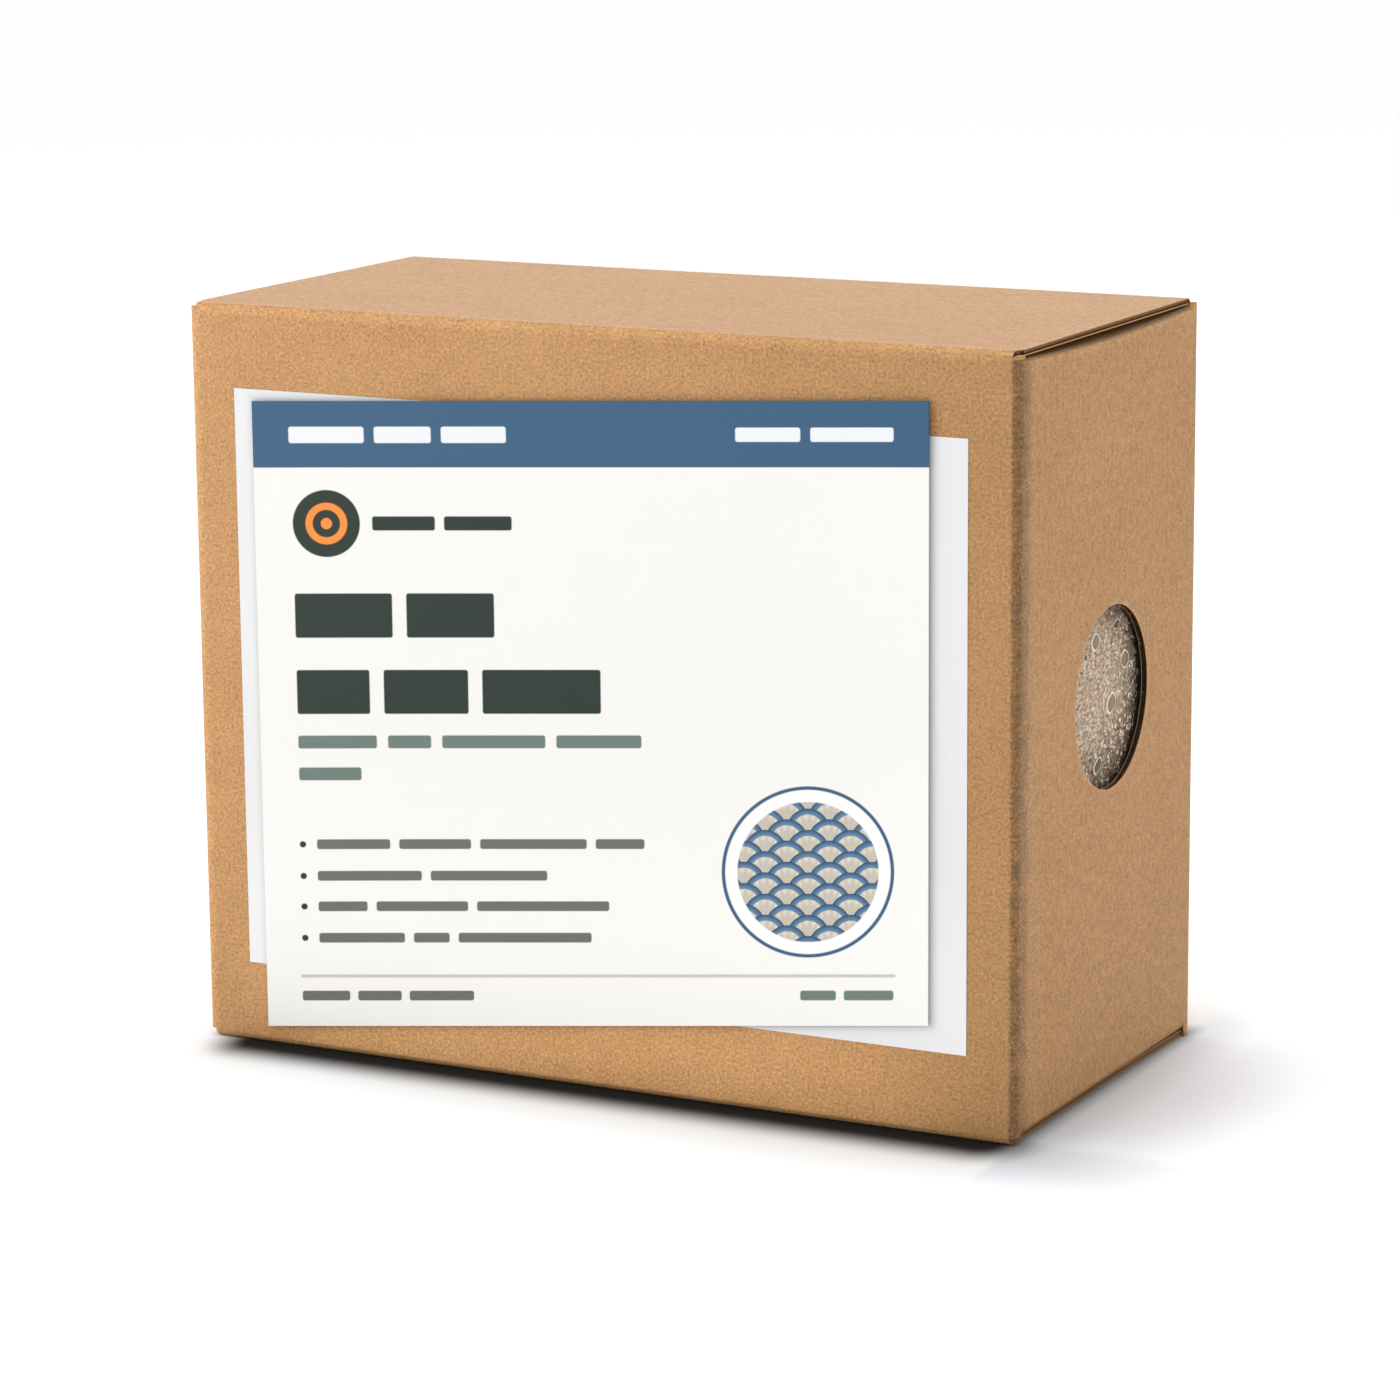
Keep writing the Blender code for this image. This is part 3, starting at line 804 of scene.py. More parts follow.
def carton_board(depth):
    """Walls, glue tab, base, tuck and dust flaps."""
    board = FoldedBoard(depth)
    stations = wall_stations()
    square = [HOLE_Z - HOLE_SQUARE, HOLE_Z + HOLE_SQUARE]
    heights = spread(
        [LOW_FOLD, LOW_FOLD + 1 * MM, TAB_LOW, *square, TAB_HIGH, 175 * MM, 176.4 * MM, HIGH_FOLD]
    )
    tab_middle = (TAB_LOW + TAB_HIGH) / 2

    def wall_row(z):
        return [board.corner(Vector((x, y, z)), way, (run, z)) for _, x, y, way, run in walls]

    start = max(i for i, station in enumerate(stations) if station[0] == "tab")
    walls, tab = stations[start:], stations[: start + 1]

    def outside_square(middle):
        near = abs(middle.y - HOLE_Y) < HOLE_SQUARE and abs(middle.z - HOLE_Z) < HOLE_SQUARE
        return not (middle.x > HALF_W - 0.1 * MM and near)

    board.rows([wall_row(z) for z in heights], outside_square)
    hole_patch(board, walls)
    corner_columns(board, walls)

    tab_half = (TAB_HIGH - TAB_LOW) / 2
    tab_rows = []
    for z in [z for z in heights if TAB_LOW - 1e-7 <= z <= TAB_HIGH + 1e-7]:
        row = []
        for _, x, y, way, run in tab:
            reach = max(0.0, x + FLAT_X)
            taper = 1.75 * TAB_TAPER * min(1.0, reach / TAB_TAPER)
            at = tab_middle + (z - tab_middle) * (tab_half - taper) / tab_half
            row.append(board.corner(Vector((x, y, at)), way, (run, z)))
        tab_rows.append(row)
    board.rows(tab_rows)

    front = [station for station in walls if station[0] == "front"]
    lower = []
    for z in spread([FOLD, LOW_FOLD]):
        lower.append([board.corner(Vector((x, y, z)), way, (run, z)) for _, x, y, way, run in front])
    board.rows(lower)
    board.joined.append(lambda place: place.y < -HALF_D + 0.1 * MM and abs(place.z - HIGH_FOLD) < 0.1 * MM)
    board.joined.append(lambda place: abs(place.x) > FLAT_X + 0.1 * MM and place.z > HIGH_FOLD + 0.1 * MM)

    back = [station for station in walls if station[0] == "back"]
    for levels in ([BACK_BOTTOM, 1.6 * MM, LOW_FOLD], [HIGH_FOLD, 178.6 * MM, BACK_TOP]):
        rows = []
        for z in levels:
            drawn = {BACK_BOTTOM: FOOT_ROUND, BACK_TOP: -TOP_ROUND}.get(z, 0.0)
            line = [(x, y, way, run, z + corner_round(x, drawn)) for _, x, y, way, run in back]
            rows.append([board.corner(Vector((x, y, at)), way, (run, at)) for x, y, way, run, at in line])
        board.rows(rows)

    edge = [(Vector((x, y, FOLD)), (run, FOLD)) for _, x, y, _, run in front]
    far, out, heading = board.crease(
        edge, FORWARD, DOWN, grow=lambda place, flat, run: (place, (flat[0], flat[1] - run))
    )
    rows = [[board.corner(place, out, flat) for place, flat in far]]
    back_y = TUCKED_Y - FOLD
    base_y = [-FLAT_Y, -49 * MM, BASE_WIDENS_Y, back_y - 0.1 * MM, back_y]
    base_x = [FLAT_X, FLAT_X, FLAT_X + 0.1 * MM, BASE_SIDE_X, BASE_BACK_X]
    for y in spread(base_y)[1:]:
        width = float(np.interp(y, base_y, base_x)) / FLAT_X
        row = [(Vector((place.x * width, y, 0)), (flat[0], flat[1] - y - FLAT_Y)) for place, flat in far]
        rows.append([board.corner(place, out, flat) for place, flat in row])
    board.rows(rows)
    tuck(board, [(board.places[i], board.flats[i]) for i in rows[-1]], out, heading, math.pi / 2, -1)

    for side in (-1, 1):
        name = "right" if side > 0 else "left"
        wall = [(y, run) for part, _, y, _, run in walls if part == name]
        line = [(y, run) for y, run in wall if FLAP_FRONT - 1e-7 <= y <= FLAP_BACK + 1e-7]
        flap(board, line, side, LOW_FOLD, DOWN)
        flap(board, line, side, HIGH_FOLD, UP)
    return board


def tuck(board, edge, way, heading, turn, sign):
    """A tuck folded in from a panel's back edge, narrowing to round corners."""
    far, out, ahead = board.crease(
        edge, way, heading, turn, grow=lambda place, flat, run: (place, (flat[0], flat[1] + sign * run))
    )
    rows = [[board.corner(place, out, flat) for place, flat in far]]
    half = max(place.x for place, _ in far)
    for along in spread([0, 9 * MM, 14 * MM, 16.5 * MM, TUCK_DEPTH])[1:]:
        share = along / TUCK_DEPTH
        width = (half + (TUCK_END_X - half) * share) / half
        row = []
        for place, flat in far:
            moved = place + ahead * along
            moved.x = place.x * width
            row.append(board.corner(moved, out, (flat[0], flat[1] + sign * along)))
        rows.append(row)
    board.rows(rows)


def front_run():
    """Where the front wall starts on the blank, and its places across."""
    front = [station for station in wall_stations() if station[0] == "front"]
    return [(x, run) for _, x, _, _, run in front]


def lid_width(y):
    share = (y + FLAT_Y) / (LID_BACK_Y + FLAT_Y)
    return (LID_FRONT_X + (LID_BACK_X - LID_FRONT_X) * max(0.0, share)) / FLAT_X


def lid_row(board, y, width):
    """One row of the lid's flat panel, from its left edge to its right one."""
    return [board.corner(Vector((x * width, y, HEIGHT)), UP, (run, LID_RUN + y)) for x, run in front_run()]


def clear_of_ends(place):
    return abs(place.x) < FLAT_X - 0.5 * MM


def lid_board(depth):
    """The lid panel behind its front crease, with its tuck."""
    board = FoldedBoard(depth)
    rows = []
    for y in spread([STRIP_BACK_Y, -46 * MM, 44 * MM, LID_BACK_Y]):
        rows.append(lid_row(board, y, lid_width(y)))
    board.rows(rows)
    board.joined.append(lambda place: abs(place.y - STRIP_BACK_Y) < 0.1 * MM and clear_of_ends(place))
    edge = [(board.places[i], board.flats[i]) for i in rows[-1]]
    tuck(board, edge, UP, BACKWARD, LID_TUCK_TURN, 1)
    return board


def crease_board(depth):
    """The crease between the front wall and the lid."""
    board = FoldedBoard(depth)
    rows = []
    for z in (HIGH_FOLD, 177.7 * MM, 178.2 * MM, 178.8 * MM, HEIGHT - LID_FOLD):
        rows.append([board.corner(Vector((x, -HALF_D, z)), FORWARD, (run, z)) for x, run in front_run()])
    board.rows(rows)
    edge = [(board.places[i], board.flats[i]) for i in rows[-1]]
    far, out, _ = board.crease(
        edge, FORWARD, UP, steps=12, grow=lambda p, f, run: (p, (f[0], f[1] + run)), radius=LID_FOLD
    )
    rows = [[board.corner(place, out, flat) for place, flat in far]]
    for y in (-50.6 * MM, -50.0 * MM, -49.2 * MM, STRIP_BACK_Y):
        wide = 1 + (lid_width(STRIP_BACK_Y) - 1) * max(0.0, (y + 50.6 * MM) / (2.1 * MM))
        rows.append(lid_row(board, y, wide))
    board.rows(rows)
    for level in (lambda place: abs(place.y - STRIP_BACK_Y), lambda place: abs(place.z - HIGH_FOLD)):
        board.joined.append(lambda place, level=level: level(place) < 0.1 * MM and clear_of_ends(place))
    return board


class MESH_OT_grow_kit_carton(bpy.types.Operator):
    """Folds the carton's walls, base, tab and dust flaps, with the round fruiting hole"""

    bl_idname = "mesh.grow_kit_carton"
    bl_label = "Carton"

    def execute(self, context):
        board = context.scene.grow_kit_board
        mesh = carton_board(board.settle).mesh("carton_board")
        piece = add_piece("carton_board", mesh, board_finishes(board), ["carton"])
        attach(piece, "carton")
        return {"FINISHED"}


class MESH_OT_grow_kit_lid(bpy.types.Operator):
    """Folds the lid with its tuck, and the crease that joins it to the front wall"""

    bl_idname = "mesh.grow_kit_lid"
    bl_label = "Lid"

    def execute(self, context):
        if not frame["joints"]:
            raise RuntimeError("The frame has no hinge for the lid's crease to bend on")
        board = context.scene.grow_kit_board
        mesh = lid_board(board.settle).mesh("lid_board")
        lid = add_piece("lid_board", mesh, board_finishes(board), ["lid"])
        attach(lid, "lid")
        mesh = crease_board(board.settle).mesh("lid_crease")
        crease = add_piece("lid_crease", mesh, board_finishes(board))
        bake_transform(crease)
        return {"FINISHED"}


def at_hole(place_parts, face_x):
    """1 on the right face behind the fruiting hole, 0 away from it."""
    out, along, rise = place_parts
    right, level = (along - HOLE_Y) / HOLE_RADIUS, (rise - HOLE_Z) / HOLE_RADIUS
    return (right * right + level * level).root().ramp(1.4, 1.1) * out.ramp(face_x - 6 * MM, face_x - 3 * MM)


def grown_block(name, growth):
    """White mycelium grown over brown sawdust, fuzzy, with bare patches."""
    finish = Finish(name)
    place, place_parts = finish.attribute("rest_place")
    _, (lump, _, _) = finish.attribute("lump")
    clouds = finish.spots(place, 38, detail=4, rough=0.6)
    crumbs = finish.spots(place, 420, detail=3, rough=0.7)
    fuzz = finish.spots(place, 1500, detail=3, rough=0.7)
    bare = (clouds + (crumbs - 0.5) * 0.5 - lump * 0.12).ramp(0.50, 0.66)
    sawdust = tuple(growth.sawdust)
    dust = finish.mix(crumbs.ramp(0.35, 0.7), sawdust, tuple(part * 1.9 for part in sawdust))
    white = finish.tint(tuple(growth.mycelium), 0.8 + fuzz * 0.35 + (clouds - 0.5) * 0.3)
    body = finish.mix(bare, white, dust)
    # painted shade: the block is drawn dark behind the fruiting hole
    shaded = finish.tint((0.05, 0.028, 0.012), 0.6 + crumbs * 0.8)
    body = finish.mix(at_hole(place_parts, BLOCK_HIGH.x) * 0.93, body, shaded)
    height = crumbs * (0.4 + bare) + fuzz * 0.25
    relief = finish.bump(height, 0.6 * MM, 0.9)
    return finish.surface(
        {
            "Base Color": body,
            "Roughness": 0.92,
            "Normal": relief,
            "Sheen Weight": 0.25,
            "Sheen Roughness": 0.6,
            "Specular IOR Level": 0.2,
        }
    )


class MESH_OT_grow_kit_block(bpy.types.Operator):
    """Grows the brick of sawdust and mycelium: soft corners, lumps and crumbs"""

    bl_idname = "mesh.grow_kit_block"
    bl_label = "Block"

    def execute(self, context):
        growth = context.scene.grow_kit_growth
        half = (BLOCK_HIGH - BLOCK_LOW) / 2
        middle = (BLOCK_HIGH + BLOCK_LOW) / 2
        core = half - Vector((BLOCK_ROUND,) * 3)
        shape = bmesh.new()
        bmesh.ops.create_cube(shape, size=2)
        bmesh.ops.subdivide_edges(shape, edges=shape.edges[:], cuts=BLOCK_CUTS, use_grid_fill=True)
        lumps = []
        for vert in shape.verts:
            place = Vector([math.sin(part * math.pi / 2) * size for part, size in zip(vert.co, half)])
            inside = Vector([max(-size, min(size, part)) for part, size in zip(place, core)])
            out = (place - inside).normalized()
            large = noise.noise(place * 42)
            small = noise.noise(place * 160 + Vector((4, 1, 7)))
            crumb = abs(noise.noise(place * 420 + Vector((9, 2, 3))))
            lump = 1.1 * (0.5 - 0.5 * large) + 0.55 * (0.5 - 0.5 * small) + 0.35 * crumb
            lumps.append((large + small * 0.5, 0, 0))
            vert.co = middle + inside + out * (BLOCK_ROUND - lump * MM)
        mesh = bpy.data.meshes.new("grown_block")
        shape.to_mesh(mesh)
        shape.free()
        keep_on_points(mesh, "rest_place", [vert.co for vert in mesh.vertices])
        keep_on_points(mesh, "lump", lumps)
        mesh.polygons.foreach_set("use_smooth", [True] * len(mesh.polygons))
        finish = finish_of("mycelium_on_sawdust", grown_block, growth)
        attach(add_piece("grown_block", mesh, [finish], ["block"]), "carton")
        return {"FINISHED"}


def clear_film(name, haze):
    """Clear shiny film. Mist has settled on it behind the fruiting hole and fogs it towards the front; its
    colour there is painted light and shade, pale near the front and dark towards the back and the rim.
    """
    finish = Finish(name)
    place, parts = finish.attribute("rest_place")
    mist = finish.spots(place, 60, detail=3)
    grain = finish.spots(place, 2600, detail=2, stretch=(1, 1, 0.45))
    beads = finish.spots(place, 1150, detail=3, rough=0.75, stretch=(1, 0.55, 1)) - 0.5
    curls = abs(finish.spots(place, 520, detail=2, rough=0.6, stretch=(1, 0.6, 1)) - 0.5).ramp(0.05, 0.012)
    facing = finish.node("ShaderNodeLayerWeight", {}, {"Blend": 0.32}, output=1)
    specks = grain.ramp(0.55, 0.72)
    in_hole = at_hole(parts, BAG_HIGH.x)
    right = (parts[1] - HOLE_Y) / HOLE_RADIUS + 0.45
    level = (parts[2] - HOLE_Z) / HOLE_RADIUS * 1.35 - 0.2
    mist_and_shade = ((right * right + level * level).root() + (mist - 0.5) * 0.35).ramp(1.6, 0.6)
    # painted light and shade: pale where the mist is thick, dark towards the back and the rim
    misted_and_shaded = finish.mix(mist_and_shade, (0.20, 0.145, 0.10), (0.435, 0.33, 0.238))
    misted_and_shaded = finish.tint(misted_and_shaded, 0.92 + beads * 3.6 + curls * 0.4)
    body = finish.mix(in_hole, (0.86, 0.86, 0.84), misted_and_shaded)
    clear = haze + (mist - 0.5) * 0.2 + facing * 0.34 + specks * 0.14
    hidden = clear + ((mist_and_shade * 0.14 + beads * 0.4 + 0.8) - clear) * in_hole
    relief = finish.bump(grain * 0.6 + mist * 2, 0.06 * MM, 0.5)
    return finish.surface(
        {
            "Base Color": body,
            "Roughness": 0.16 + specks * 0.2 + in_hole * 0.5,
            "Alpha": hidden.most(0.05),
            "Coat Weight": 1 - in_hole,
            "Coat Roughness": 0.12,
            "Specular IOR Level": 0.05,
            "Normal": relief,
        }
    )


def film_bulge(y, z):
    """How far the film stands out behind the fruiting hole."""
    away = math.hypot(y - HOLE_Y, z - HOLE_Z) / BULGE_REACH
    return BULGE * math.exp(-(away**4)) if away < 3 else 0.0


def film_wrinkle(place, tight):
    """Slack film: long soft ridges, sharper where it is gathered."""
    soft = noise.noise(Vector((place.x * 26, place.y * 26, place.z * 9)) + Vector((2, 8, 1)))
    ridge = 1 - abs(noise.noise(Vector((place.x * 60, place.y * 60, place.z * 22)) + Vector((5, 3, 9)))) * 2
    return (0.5 * soft - 0.5) * 0.5 * MM - (1 - ridge) * tight * MM


def rounded_line(half_x, half_y, corner):
    """Places round a rectangle with round corners, closer together on its ends."""
    line = []
    ends = np.linspace(-1, 1, 90)
    sides = np.linspace(-1, 1, 62)
    bends = np.linspace(0, math.pi / 2, 10)
    for quarter in range(4):
        centre = Vector(((half_x - corner) * (1 if quarter in (0, 3) else -1), 0))
        centre.y = (half_y - corner) * (1 if quarter in (0, 1) else -1)
        for bend in bends:
            angle = math.pi / 2 * quarter + bend
            line.append((centre.x + corner * math.cos(angle), centre.y + corner * math.sin(angle)))
        if quarter in (0, 2):
            turn = -1 if quarter == 0 else 1
            line += [(part * turn * (half_x - corner), half_y * -turn) for part in sides[1:-1]]
        else:
            turn = -1 if quarter == 1 else 1
            line += [(half_x * turn, part * turn * (half_y - corner)) for part in ends[1:-1]]
    return line


def bag_levels():
    """Rings of the bag from its foot to the end of its neck, as lists of places."""
    bottom = BAG_LOW.z
    rings = []

    def level(shrink, height):
        corner = max(BAG_CORNER - shrink / 2, 2 * MM)
        line = rounded_line(BAG_HIGH.x - shrink, BAG_HIGH.y - shrink, corner)
        rings.append([Vector((x, y, height)) for x, y in line])

    for angle in np.linspace(0, math.pi / 2, 8):
        level(BAG_FOOT * (1 - math.sin(angle)), bottom + BAG_FOOT * (1 - math.cos(angle)))
    for height in spread([bottom + BAG_FOOT, 66 * MM, BAG_SHOULDER], 2.6 * MM)[1:-1]:
        level(0, height)
    for angle in np.linspace(0, math.pi / 2, 10):
        level(BAG_ROUND * (1 - math.cos(angle)), BAG_SHOULDER + BAG_ROUND * math.sin(angle))

    def neck(middle, way):
        line = rounded_line(NECK_HALF_X, NECK_HALF, NECK_HALF * 0.98)
        return [Vector((x, 0, 0)) + middle + way * y for x, y in line]

    top_ring = rings[-1]
    gathered = neck(Vector((0, 0, NECK_Z)), BACKWARD)
    for share in (0.12, 0.25, 0.4, 0.56, 0.72, 0.87):
        lift = 1 - (1 - share) ** 1.6
        ring = []
        for low, high in zip(top_ring, gathered):
            place = low.lerp(high, share)
            place.z = low.z + (high.z - low.z) * lift
            ring.append(place)
        rings.append(ring)
    rings.append(gathered)
    bend = Vector((0, -NECK_BEND, NECK_BEND_Z))
    for angle in np.linspace(0, math.pi / 2, 8):
        way = BACKWARD * math.cos(angle) + UP * math.sin(angle)
        rings.append(neck(bend + way * NECK_BEND, way))
    lying = bend + UP * NECK_BEND
    for reach in spread([0, NECK_LENGTH - 6 * MM, NECK_LENGTH], 2 * MM)[1:]:
        rings.append(neck(lying + FORWARD * reach, UP))
    return rings


def bag_mesh():
    """The film with its bulge at the hole, its slack wrinkles and its crimped neck."""
    rings = bag_levels()
    verts = []
    for ring in rings:
        for place in ring:
            place = place.copy()
            out = Vector((place.x / BAG_HIGH.x, place.y / BAG_HIGH.y, 0))
            if place.x > BAG_HIGH.x - 0.2 * MM:
                place.x += film_bulge(place.y, place.z)
            if place.z > NECK_START:
                fold = noise.noise(Vector((place.x * 70, place.y * 12, 3.3)))
                crimp = math.sin(place.x * 900) * 0.10 * MM if place.y < CRIMP_Y else 0.0
                grown = min(1.0, (place.z - NECK_START) / (4 * MM))
                place.z += min(0.45, max(-0.45, fold)) * MM * grown + crimp
            else:
                tight = 0.9 if place.z > BAG_SHOULDER else 0.25
                near = math.hypot(place.y - HOLE_Y, place.z - HOLE_Z) / (24 * MM) if place.x > 0 else 9
                calm = 0.25 if near < 1 else 1.0
                place += out.normalized() * film_wrinkle(place, tight * calm) * calm
            verts.append(place)
    size = len(rings[0])
    faces = []
    for low in range(0, (len(rings) - 1) * size, size):
        for i in range(size):
            j = (i + 1) % size
            faces.append((low + i, low + j, low + size + j, low + size + i))
    faces.append(tuple(reversed(range(size))))
    last = (len(rings) - 1) * size
    faces.append(tuple(range(last, last + size)))
    mesh = bpy.data.meshes.new("film_bag")
    mesh.from_pydata(verts, [], faces)
    mesh.polygons.foreach_set("use_smooth", [True] * len(faces))
    keep_on_points(mesh, "rest_place", verts)
    return mesh


class MESH_OT_grow_kit_bag(bpy.types.Operator):
    """Wraps the block in its clear film, gathered into a flat neck that folds to the front"""

    bl_idname = "mesh.grow_kit_bag"
    bl_label = "Film bag"

    def execute(self, context):
        growth = context.scene.grow_kit_growth
        finish = finish_of("misted_clear_film", clear_film, growth.film_haze)
        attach(add_piece("film_bag", bag_mesh(), [finish], ["bag"]), "carton")
        return {"FINISHED"}


def water(name):
    """Beads of water: painted darker inside, with a painted highlight along their rim."""
    finish = Finish(name)
    place, _ = finish.attribute("rest_place")
    _, (reach, dark, strength) = finish.attribute("bead")
    ripple = finish.spots(place, 900, detail=1) - 0.5
    rim = (reach + ripple * 0.08).ramp(0.80, 0.87)
    inside = finish.mix(dark, (0.25, 0.175, 0.10), (0.026, 0.015, 0.007))
    body = finish.mix(rim, inside, (0.86, 0.76, 0.60))
    shown = (0.80 + dark * 0.12 + rim * 0.18) * strength
    return finish.surface(
        {
            "Base Color": body,
            "Roughness": 0.25 + ripple * 0.05,
            "Alpha": shown,
            "Specular IOR Level": 0.1,
        }
    )


class Beads:
    """Drops of water on the film as closed domes, with what the finish needs to know at each point."""

    def __init__(self):
        self.verts, self.faces, self.marks = [], [], []

    def add(self, y, z, width, height, lean, tall, rings, sides, point=0.0, dark=0.0, strength=1.0, lit=None):
        """One drop, drawn out to points above and below, and leaning."""
        base = len(self.verts)
        foot = BAG_HIGH.x + film_bulge(y, z) - 0.05 * MM
        for ring in range(rings):
            rise = math.pi / 2 * ring / rings
            spread_by = math.cos(rise) ** 0.8
            for side in range(sides):
                turn = 2 * math.pi * side / sides
                across = math.cos(turn) * abs(math.cos(turn)) ** point * width / 2 * spread_by
                down = math.sin(turn) * height / 2 * spread_by
                # painted highlight: with lit given, the drop shows strongly only on that side
                shine = strength if lit is None else strength * (0.12 + 0.88 * max(0.0, math.cos(turn - lit)))
                self.verts.append((foot + tall * (1 - spread_by**2), y + across + down * lean, z + down))
                self.marks.append((spread_by if lit is None else 1.0, dark, shine))
        self.verts.append((foot + tall, y, z - height * 0.06))
        self.marks.append((0.0 if lit is None else 1.0, dark, strength * (1.0 if lit is None else 0.25)))
        top = len(self.verts) - 1
        for ring in range(rings - 1):
            for side in range(sides):
                after = (side + 1) % sides
                low, high = base + ring * sides, base + (ring + 1) * sides
                self.faces.append((low + side, low + after, high + after, high + side))
        last = base + (rings - 1) * sides
        for side in range(sides):
            self.faces.append((last + side, last + (side + 1) % sides, top))
        self.faces.append(tuple(base + side for side in reversed(range(sides))))

    def piece(self, name, finish):
        mesh = bpy.data.meshes.new(name)
        mesh.from_pydata(self.verts, [], self.faces)
        mesh.polygons.foreach_set("use_smooth", [True] * len(self.faces))
        keep_on_points(mesh, "rest_place", self.verts)
        keep_on_points(mesh, "bead", self.marks)
        sharpen(mesh, 1.2)
        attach(add_piece(name, mesh, [finish]), "carton")


LARGE_DROPS = (
    # y, z, width, height in mm, lean, how pointed, how dark inside, strength
    (-2.4, 107.1, 5.2, 4.5, 0.0, 0.7, 0.0, 1.0),
    (15.3, 99.9, 5.6, 4.7, -0.05, 0.55, 0.0, 1.0),
    (7.0, 91.0, 5.6, 5.2, 0.3, 0.7, 0.0, 1.0),
    (-0.4, 77.5, 4.6, 4.0, 0.6, 0.6, 0.75, 0.9),
    (10.6, 109.1, 4.2, 2.3, 0.1, 0.2, 0.9, 0.75),
    (-8.3, 104.5, 2.0, 1.7, 0.0, 0.3, 1.0, 0.8),
    (6.2, 98.5, 8.0, 2.5, 0.2, 0.1, 0.0, 0.3),
    (-9.8, 89.8, 5.3, 2.3, 0.0, 0.1, 0.0, 0.4),
    (-8.6, 86.3, 5.3, 3.0, 0.0, 0.1, 0.1, 0.5),
    (6.8, 113.8, 2.4, 2.4, 0.6, 0.4, 1.0, 0.7),
    (21.3, 100.1, 1.0, 1.2, 0.0, 0.4, 0.2, 0.9),
    (21.0, 95.8, 2.2, 1.5, 0.0, 0.2, 0.5, 0.8),
    (17.7, 94.0, 1.3, 1.9, 0.0, 0.4, 0.0, 1.0),
    (20.6, 92.4, 1.3, 2.3, 0.2, 0.4, 0.0, 1.0),
    (13.0, 106.0, 1.0, 4.4, -0.5, 0.3, 0.0, 0.6),
    (10.6, 105.9, 0.8, 3.4, -0.7, 0.3, 0.0, 0.6),
)


class MESH_OT_grow_kit_water(bpy.types.Operator):
    """Sets the drops of water and the fine mist on the film behind the fruiting hole"""

    bl_idname = "mesh.grow_kit_water"
    bl_label = "Water on the film"

    def execute(self, context):
        growth = context.scene.grow_kit_growth
        finish = finish_of("beaded_water", water)
        drops = Beads()
        for y, z, width, height, lean, point, dark, strength in LARGE_DROPS:
            tall = min(width, height) * 0.05 * MM
            size = (width * MM, height * MM)
            drops.add(y * MM, z * MM, *size, lean, tall, 8, 28, point, dark, strength)
        drops.piece("water_drops", finish)

        draws = np.random.default_rng(41)
        mist = Beads()
        for _ in range(growth.mist_count):
            reach = HOLE_RADIUS * 1.12 * math.sqrt(draws.random())
            turn = draws.random() * 2 * math.pi
            y, z = HOLE_Y + reach * math.cos(turn), HOLE_Z + reach * math.sin(turn)
            size = (0.45 + 1.0 * draws.random() ** 2.2) * MM
            stretch = 0.5 + 0.8 * draws.random()
            strength = 0.4 + 0.6 * draws.random()
            # the side of each speck with the painted highlight
            lit = draws.normal(3.5, 0.8)
            kept = 0.35 + 0.4 * (y - HOLE_Y) / HOLE_RADIUS - 0.35 * (z - HOLE_Z) / HOLE_RADIUS
            near = [math.hypot((y / MM - d[0]) / d[2], (z / MM - d[1]) / d[3]) for d in LARGE_DROPS[:4]]
            if draws.random() < kept and min(near) > 0.62:
                mist.add(y, z, size, size * stretch, 0.0, size * 0.2, 2, 8, 0.2, 0.0, strength, lit)
        mist.piece("water_mist", finish)
        return {"FINISHED"}


def plain_paper(name, tone):
    """Smooth white label paper with a faint tooth, in soft shade along the card's edges."""
    finish = Finish(name)
    place, (across, _, rise) = finish.attribute("rest_place")
    share = (across - CARD_LEFT) / (CARD_RIGHT - CARD_LEFT)
    beyond = (across * -1 + CARD_LEFT).most(across - CARD_RIGHT)
    for low, high, sign in ((CARD_LEFT_Z[0], CARD_RIGHT_Z[0], -1), (CARD_LEFT_Z[1], CARD_RIGHT_Z[1], 1)):
        beyond = beyond.most((rise - (share * (high - low) + low)) * sign)
    shade = beyond.ramp(2.6 * MM, -0.4 * MM)
    tooth = finish.spots(place, 1400, detail=2)
    clouds = finish.spots(place, 30, detail=2)
    # painted light: a little lighter towards the right and towards the bottom
    painted_light = across * (0.05 / BACKING_HALF_X) + rise.ramp(70 * MM, 15 * MM) * 0.13 + 0.99
    body = finish.tint(tone, (painted_light + tooth * 0.03 + clouds * 0.03) * (1 - shade * 0.14))
    relief = finish.bump(tooth, 0.01 * MM, 0.5)
    sockets = {"Base Color": body, "Roughness": 0.55, "Normal": relief, "Specular IOR Level": 0.3}
    return finish.surface(sockets)


class Artwork:
    """Flat shapes drawn on a finish, in the print's own units."""

    def __init__(self, finish, across, down, ground, soft=0.7):
        self.finish = finish
        self.across = across
        self.down = down
        self.tone = ground
        self.soft = soft

    def paint(self, mask, tone):
        self.tone = self.finish.mix(mask, self.tone, tone)

    def edge(self, distance):
        """A mask that is 1 where the distance to a shape is below 0."""
        return distance.ramp(self.soft, -self.soft)

    def bar(self, left, right, middle, height, corner=2.5):
        """A bar with slightly round corners."""
        past = (abs(self.across - (left + right) / 2) - ((right - left) / 2 - corner)).most(0)
        level = (abs(self.down - middle) - (height / 2 - corner)).most(0)
        return self.edge((past * past + level * level).root() - corner)

    def below(self, line):
        return self.edge(self.down - line)

    def away(self, x, y):
        """How far each point is from x, y."""
        right, level = self.across - x, self.down - y
        return (right * right + level * level).root()

    def disc(self, x, y, radius):
        return self.edge(self.away(x, y) - radius)

    def ring(self, x, y, radius, width):
        return self.edge(abs(self.away(x, y) - radius) - width / 2)


def bar_line(middle, height, *marks):
    """A line of bars, each from a left mark to the right mark after it."""
    return [(left, right, middle, height) for left, right in zip(marks[::2], marks[1::2])]


